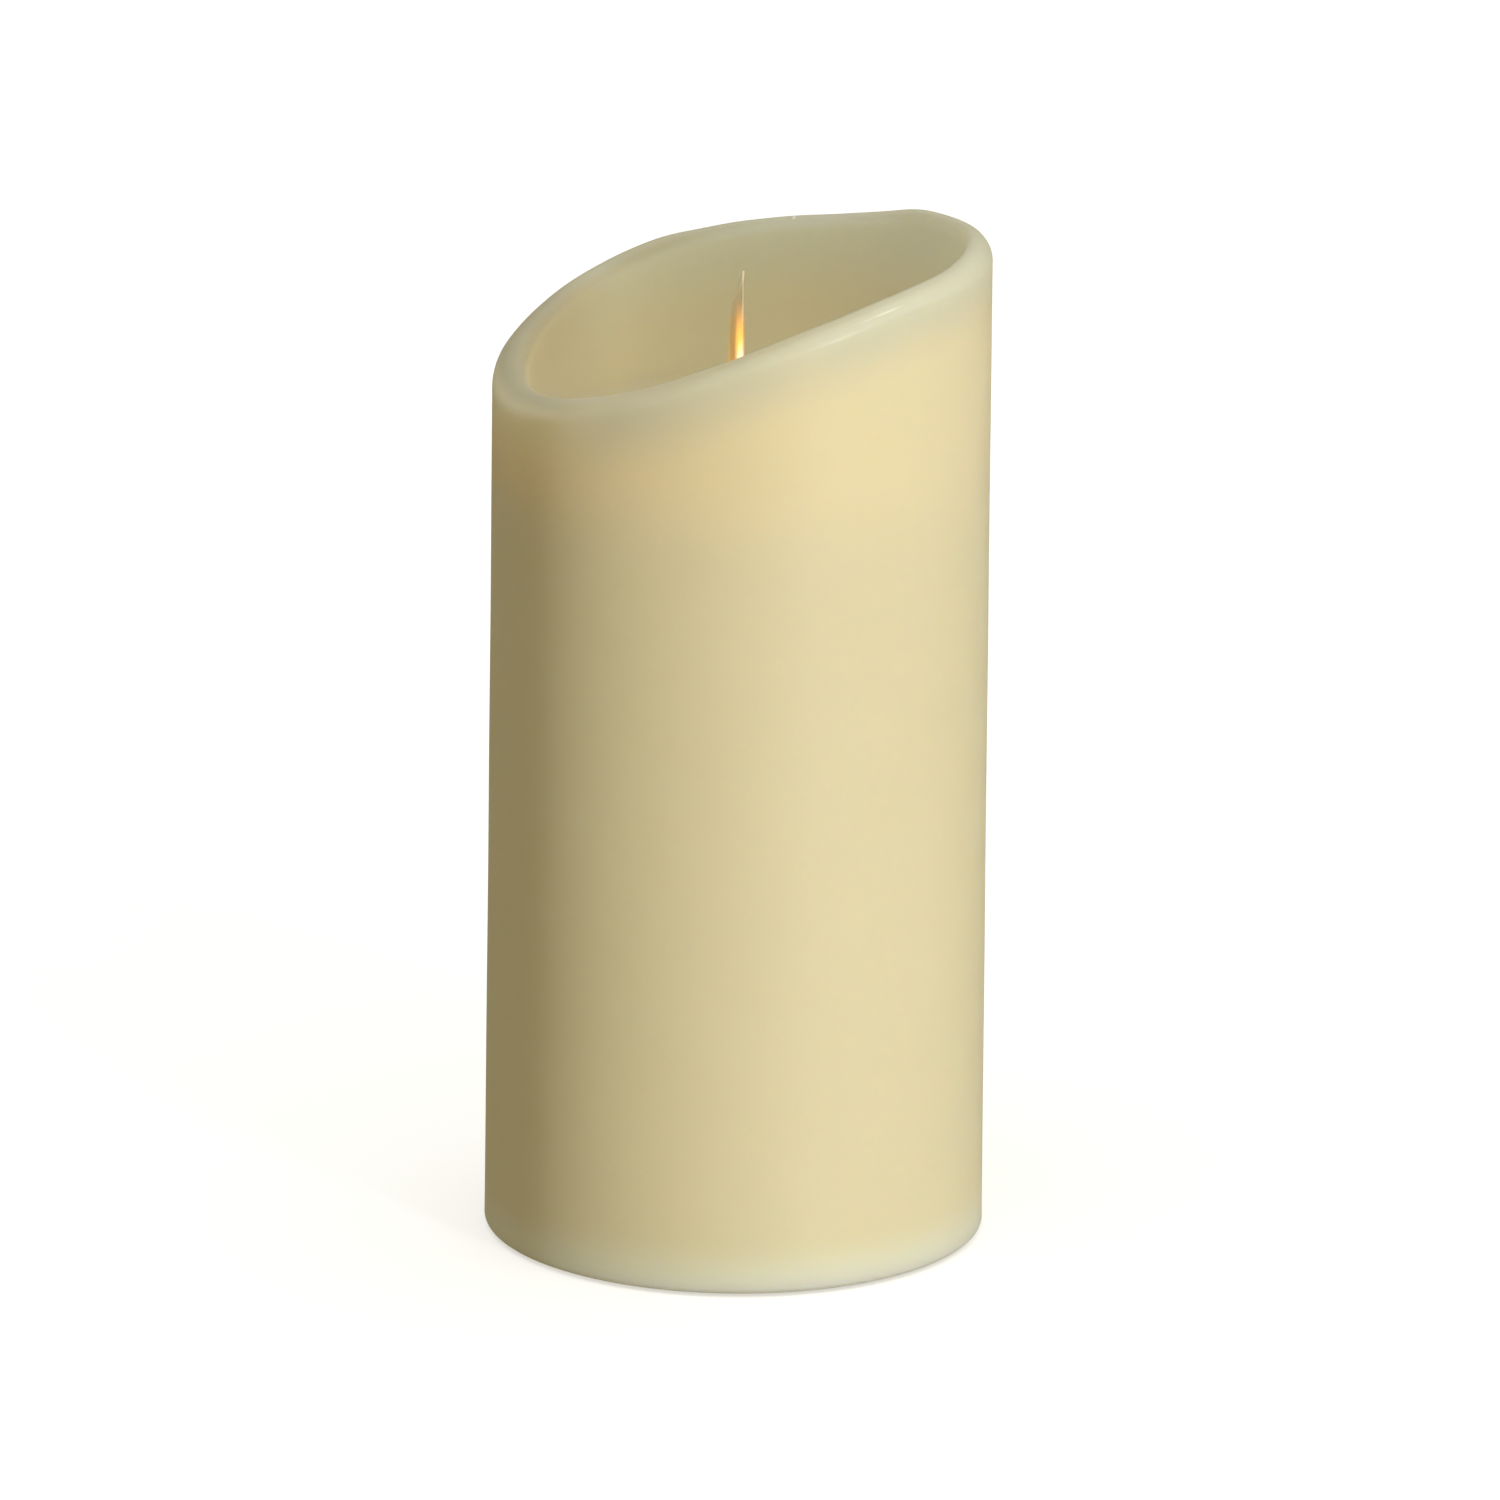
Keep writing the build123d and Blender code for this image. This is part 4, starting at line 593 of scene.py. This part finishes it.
def rim_rows(phi):
    """Rows over the rim from the outer wall to the inner wall, rounded at both edges."""
    inner = well_radius(rim_height(WELL_FLOOR_R + 2, phi)) + waves(phi, (5, 8, 11), INNER_RIPPLE, seed=8)
    away = np.degrees(np.abs(angle_from(phi, RIM_CRISP_ANGLE)))
    melted = smooth_step((away - RIM_CRISP_HALF) / RIM_CRISP_FADE)
    outer_round, inner_share, inner_depth = (
        (1 - melted) * crisp + melted * soft
        for crisp, soft in (RIM_OUTER_ROUND, RIM_INNER_SHARE, RIM_INNER_DEPTH)
    )
    inner_width = (WAX_R - outer_round - inner) * inner_share
    rows = []
    for turn in np.linspace(0, math.pi, RIM_ROWS):
        radius = WAX_R + (inner - WAX_R) * ((1 - np.cos(turn)) / 2)
        outer_in = np.clip((radius - (WAX_R - outer_round)) / outer_round, 0, 1)
        inner_in = np.clip((inner + inner_width - radius) / inner_width, 0, 1)
        height = rim_height(radius, phi) + rim_scars(radius, phi)
        rows.append((radius, height - outer_round * edge_drop(outer_in) - inner_depth * edge_drop(inner_in)))
    return rows


def wax_pillar(material):
    """The hollow pillar as one closed surface: outer wall, rim, well, floor, hole, bore and base ring."""
    phi = np.linspace(0, 2 * math.pi, AROUND, endpoint=False)
    flat = np.ones_like(phi)
    rows = [(BASE_BORE_R * flat, WAX_BOTTOM * flat)]
    for turn in np.linspace(0, math.pi / 2, BASE_EDGE_ROWS):
        radius = WAX_R - BASE_EDGE + BASE_EDGE * math.sin(turn)
        rows.append((radius * flat, (WAX_BOTTOM + BASE_EDGE - BASE_EDGE * math.cos(turn)) * flat))
    rim = rim_rows(phi)
    top, bottom = rim[0][1], WAX_BOTTOM + BASE_EDGE
    for share in np.linspace(0, 1, WALL_ROWS)[1:-1]:
        swell = waves(phi + 2.2 * share, (2, 3, 5), WALL_SWELL, seed=5)
        swell = np.clip(swell + WALL_SWELL * np.sin(19 * share + 2 * phi), -SWELL_LIMIT, SWELL_LIMIT)
        inset = math.sin(math.pi * share) ** 0.5 * (SWELL_LIMIT - swell) * SWELL_SHARE
        rows.append((WAX_R - inset, bottom + (top - bottom) * share))
    rows += rim
    inner, top = rim[-1]
    corner_top = FLOOR_Z + WELL_CORNER_R
    for share in np.linspace(0, 1, WELL_ROWS)[1:]:
        height = top + (corner_top - top) * share
        rows.append((inner + (well_radius(corner_top) - inner) * share, height))
    corner_r = well_radius(corner_top) - WELL_CORNER_R
    for turn in np.linspace(0, math.pi / 2, CORNER_ROWS)[1:]:
        radius = corner_r + WELL_CORNER_R * math.cos(turn)
        rows.append((radius * flat, (corner_top - WELL_CORNER_R * math.sin(turn)) * flat))
    for radius in np.linspace(corner_r, HOLE_R, FLOOR_ROWS)[1:]:
        free = smooth_step((radius - CAP_HIGH.x - CAP_CLEAR) / RIPPLE_FADE)
        free = free * smooth_step((corner_r - radius) / RIPPLE_FADE)
        rows.append((radius * flat, FLOOR_Z + waves(phi, (3, 5, 8), FLOOR_RIPPLE, seed=11) * free))
    for radius, height in ((HOLE_R, FLOOR_UNDER_Z), (BORE_R, FLOOR_UNDER_Z), (BORE_R, BORE_RING_Z),
                           (BORE_R, SHOULDER_Z), (BASE_BORE_R, SHOULDER_Z)):
        rows.append((radius * flat, height * flat))
    verts = np.concatenate([np.stack([r * np.cos(phi), r * np.sin(phi), z], axis=1) for r, z in rows])
    pillar = add_mesh("wax_pillar", verts, ring_faces(len(rows), AROUND), "candle", material)
    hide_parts("wax_shell")
    return pillar


# ------------------------------------------------------------------------- stage
FLOOR_HALF_WIDTH = 40.0
KEY_AZIMUTH, KEY_ELEVATION, KEY_STRENGTH, KEY_SPREAD = 36, 3, 2.44, 10
ROOM_LOW, ROOM_OVERHEAD, ROOM_BEHIND = (0.236, 0.199, 0.112), (0.87, 0.855, 0.80), (1.0, 1.0, 1.0)
GLOW_ENERGY, GLOW_PLACE = 0.006, (0, -0.0075, 0.150)
CAMERA_ELEVATION, CAMERA_ROLL, CAMERA_DISTANCE, CAMERA_VIEW_HEIGHT = 17.8, 0.6, 12.0, 0.26485
CAMERA_AIM = (0.0, 0.00213, 0.08735)


def stage_floor():
    """A wide flat pale floor. It throws no light of its own on the candle."""
    mesh = bpy.data.meshes.new("floor")
    shape = bmesh.new()
    bmesh.ops.create_grid(shape, x_segments=8, y_segments=8, size=FLOOR_HALF_WIDTH)
    shape.to_mesh(mesh)
    shape.free()
    floor = bpy.data.objects.new("floor", mesh)
    bpy.context.scene.collection.objects.link(floor)
    material, tree, shader = new_material(
        "pale_floor", Roughness=0.9, Specular_IOR_Level=0.1,
        Emission_Color=(0.94, 0.97, 1.0, 1.0), Emission_Strength=0.48,
    )
    drive(tree, shader, Base_Color=mix(tree, patches(tree, 2.0), (0.93, 0.93, 0.93), (0.95, 0.95, 0.95)))
    mesh.materials.append(material)
    floor.visible_diffuse = False
    floor.visible_glossy = False


def sun_light(name, azimuth, elevation, strength, spread, colour):
    """A distant soft light. Azimuth is measured from +X towards +Y, and spread is its width in degrees."""
    light = bpy.data.lights.new(name, "SUN")
    light.energy = strength
    light.angle = math.radians(spread)
    light.color = colour
    lamp = bpy.data.objects.new(name, light)
    a, e = math.radians(azimuth), math.radians(elevation)
    away = Vector((math.cos(e) * math.cos(a), math.cos(e) * math.sin(a), math.sin(e)))
    lamp.rotation_euler = (-away).to_track_quat("-Z", "Y").to_euler()
    bpy.context.scene.collection.objects.link(lamp)


def stage_lights():
    """A low broad key, a warm room that looks white behind the floor, and the candle's own lamp."""
    sun_light("key", KEY_AZIMUTH, KEY_ELEVATION, KEY_STRENGTH, KEY_SPREAD, (0.97, 0.99, 1.02))
    sky = bpy.data.worlds.new("studio")
    sky.use_nodes = True
    tree = sky.node_tree
    direction = node(tree, "ShaderNodeTexCoord").outputs["Generated"]
    height = node(tree, "ShaderNodeSeparateXYZ", {"Vector": direction}).outputs["Z"]
    room = mix(tree, span(tree, height, 0.3, 0.85), ROOM_LOW, ROOM_OVERHEAD)
    seen = node(tree, "ShaderNodeLightPath").outputs["Is Camera Ray"]
    drive(tree, tree.nodes["Background"], Color=mix(tree, seen, room, ROOM_BEHIND))
    bpy.context.scene.world = sky
    glow = bpy.data.lights.new("flame_glow", "POINT")
    glow.energy = GLOW_ENERGY
    glow.color = (1.0, 0.76, 0.44)
    glow.shadow_soft_size = 0.004
    lamp = bpy.data.objects.new("flame_glow", glow)
    lamp.location = GLOW_PLACE
    bpy.context.scene.collection.objects.link(lamp)


def stage_camera():
    """A long lens on the +X side, above the candle's middle and rolled very slightly."""
    elevation, roll = math.radians(CAMERA_ELEVATION), math.radians(CAMERA_ROLL)
    back = Vector((math.cos(elevation), 0, math.sin(elevation)))
    flat_right, flat_up = Vector((0, 1, 0)), Vector((-math.sin(elevation), 0, math.cos(elevation)))
    right = flat_right * math.cos(roll) + flat_up * math.sin(roll)
    up = flat_up * math.cos(roll) - flat_right * math.sin(roll)
    camera = bpy.data.cameras.new("camera")
    camera.sensor_width = 36.0
    camera.lens = camera.sensor_width * CAMERA_DISTANCE / CAMERA_VIEW_HEIGHT
    camera.clip_start, camera.clip_end = 1.0, 200.0
    viewer = bpy.data.objects.new("camera", camera)
    turn = Matrix((right, up, back)).transposed().to_4x4()
    viewer.matrix_world = Matrix.Translation(Vector(CAMERA_AIM) + back * CAMERA_DISTANCE) @ turn
    bpy.context.scene.collection.objects.link(viewer)
    bpy.context.scene.camera = viewer


paint_cad_nodes()
wax_pillar(wax_material())
stage_floor()
stage_lights()
stage_camera()
bpy.context.scene.view_settings.view_transform = "Standard"
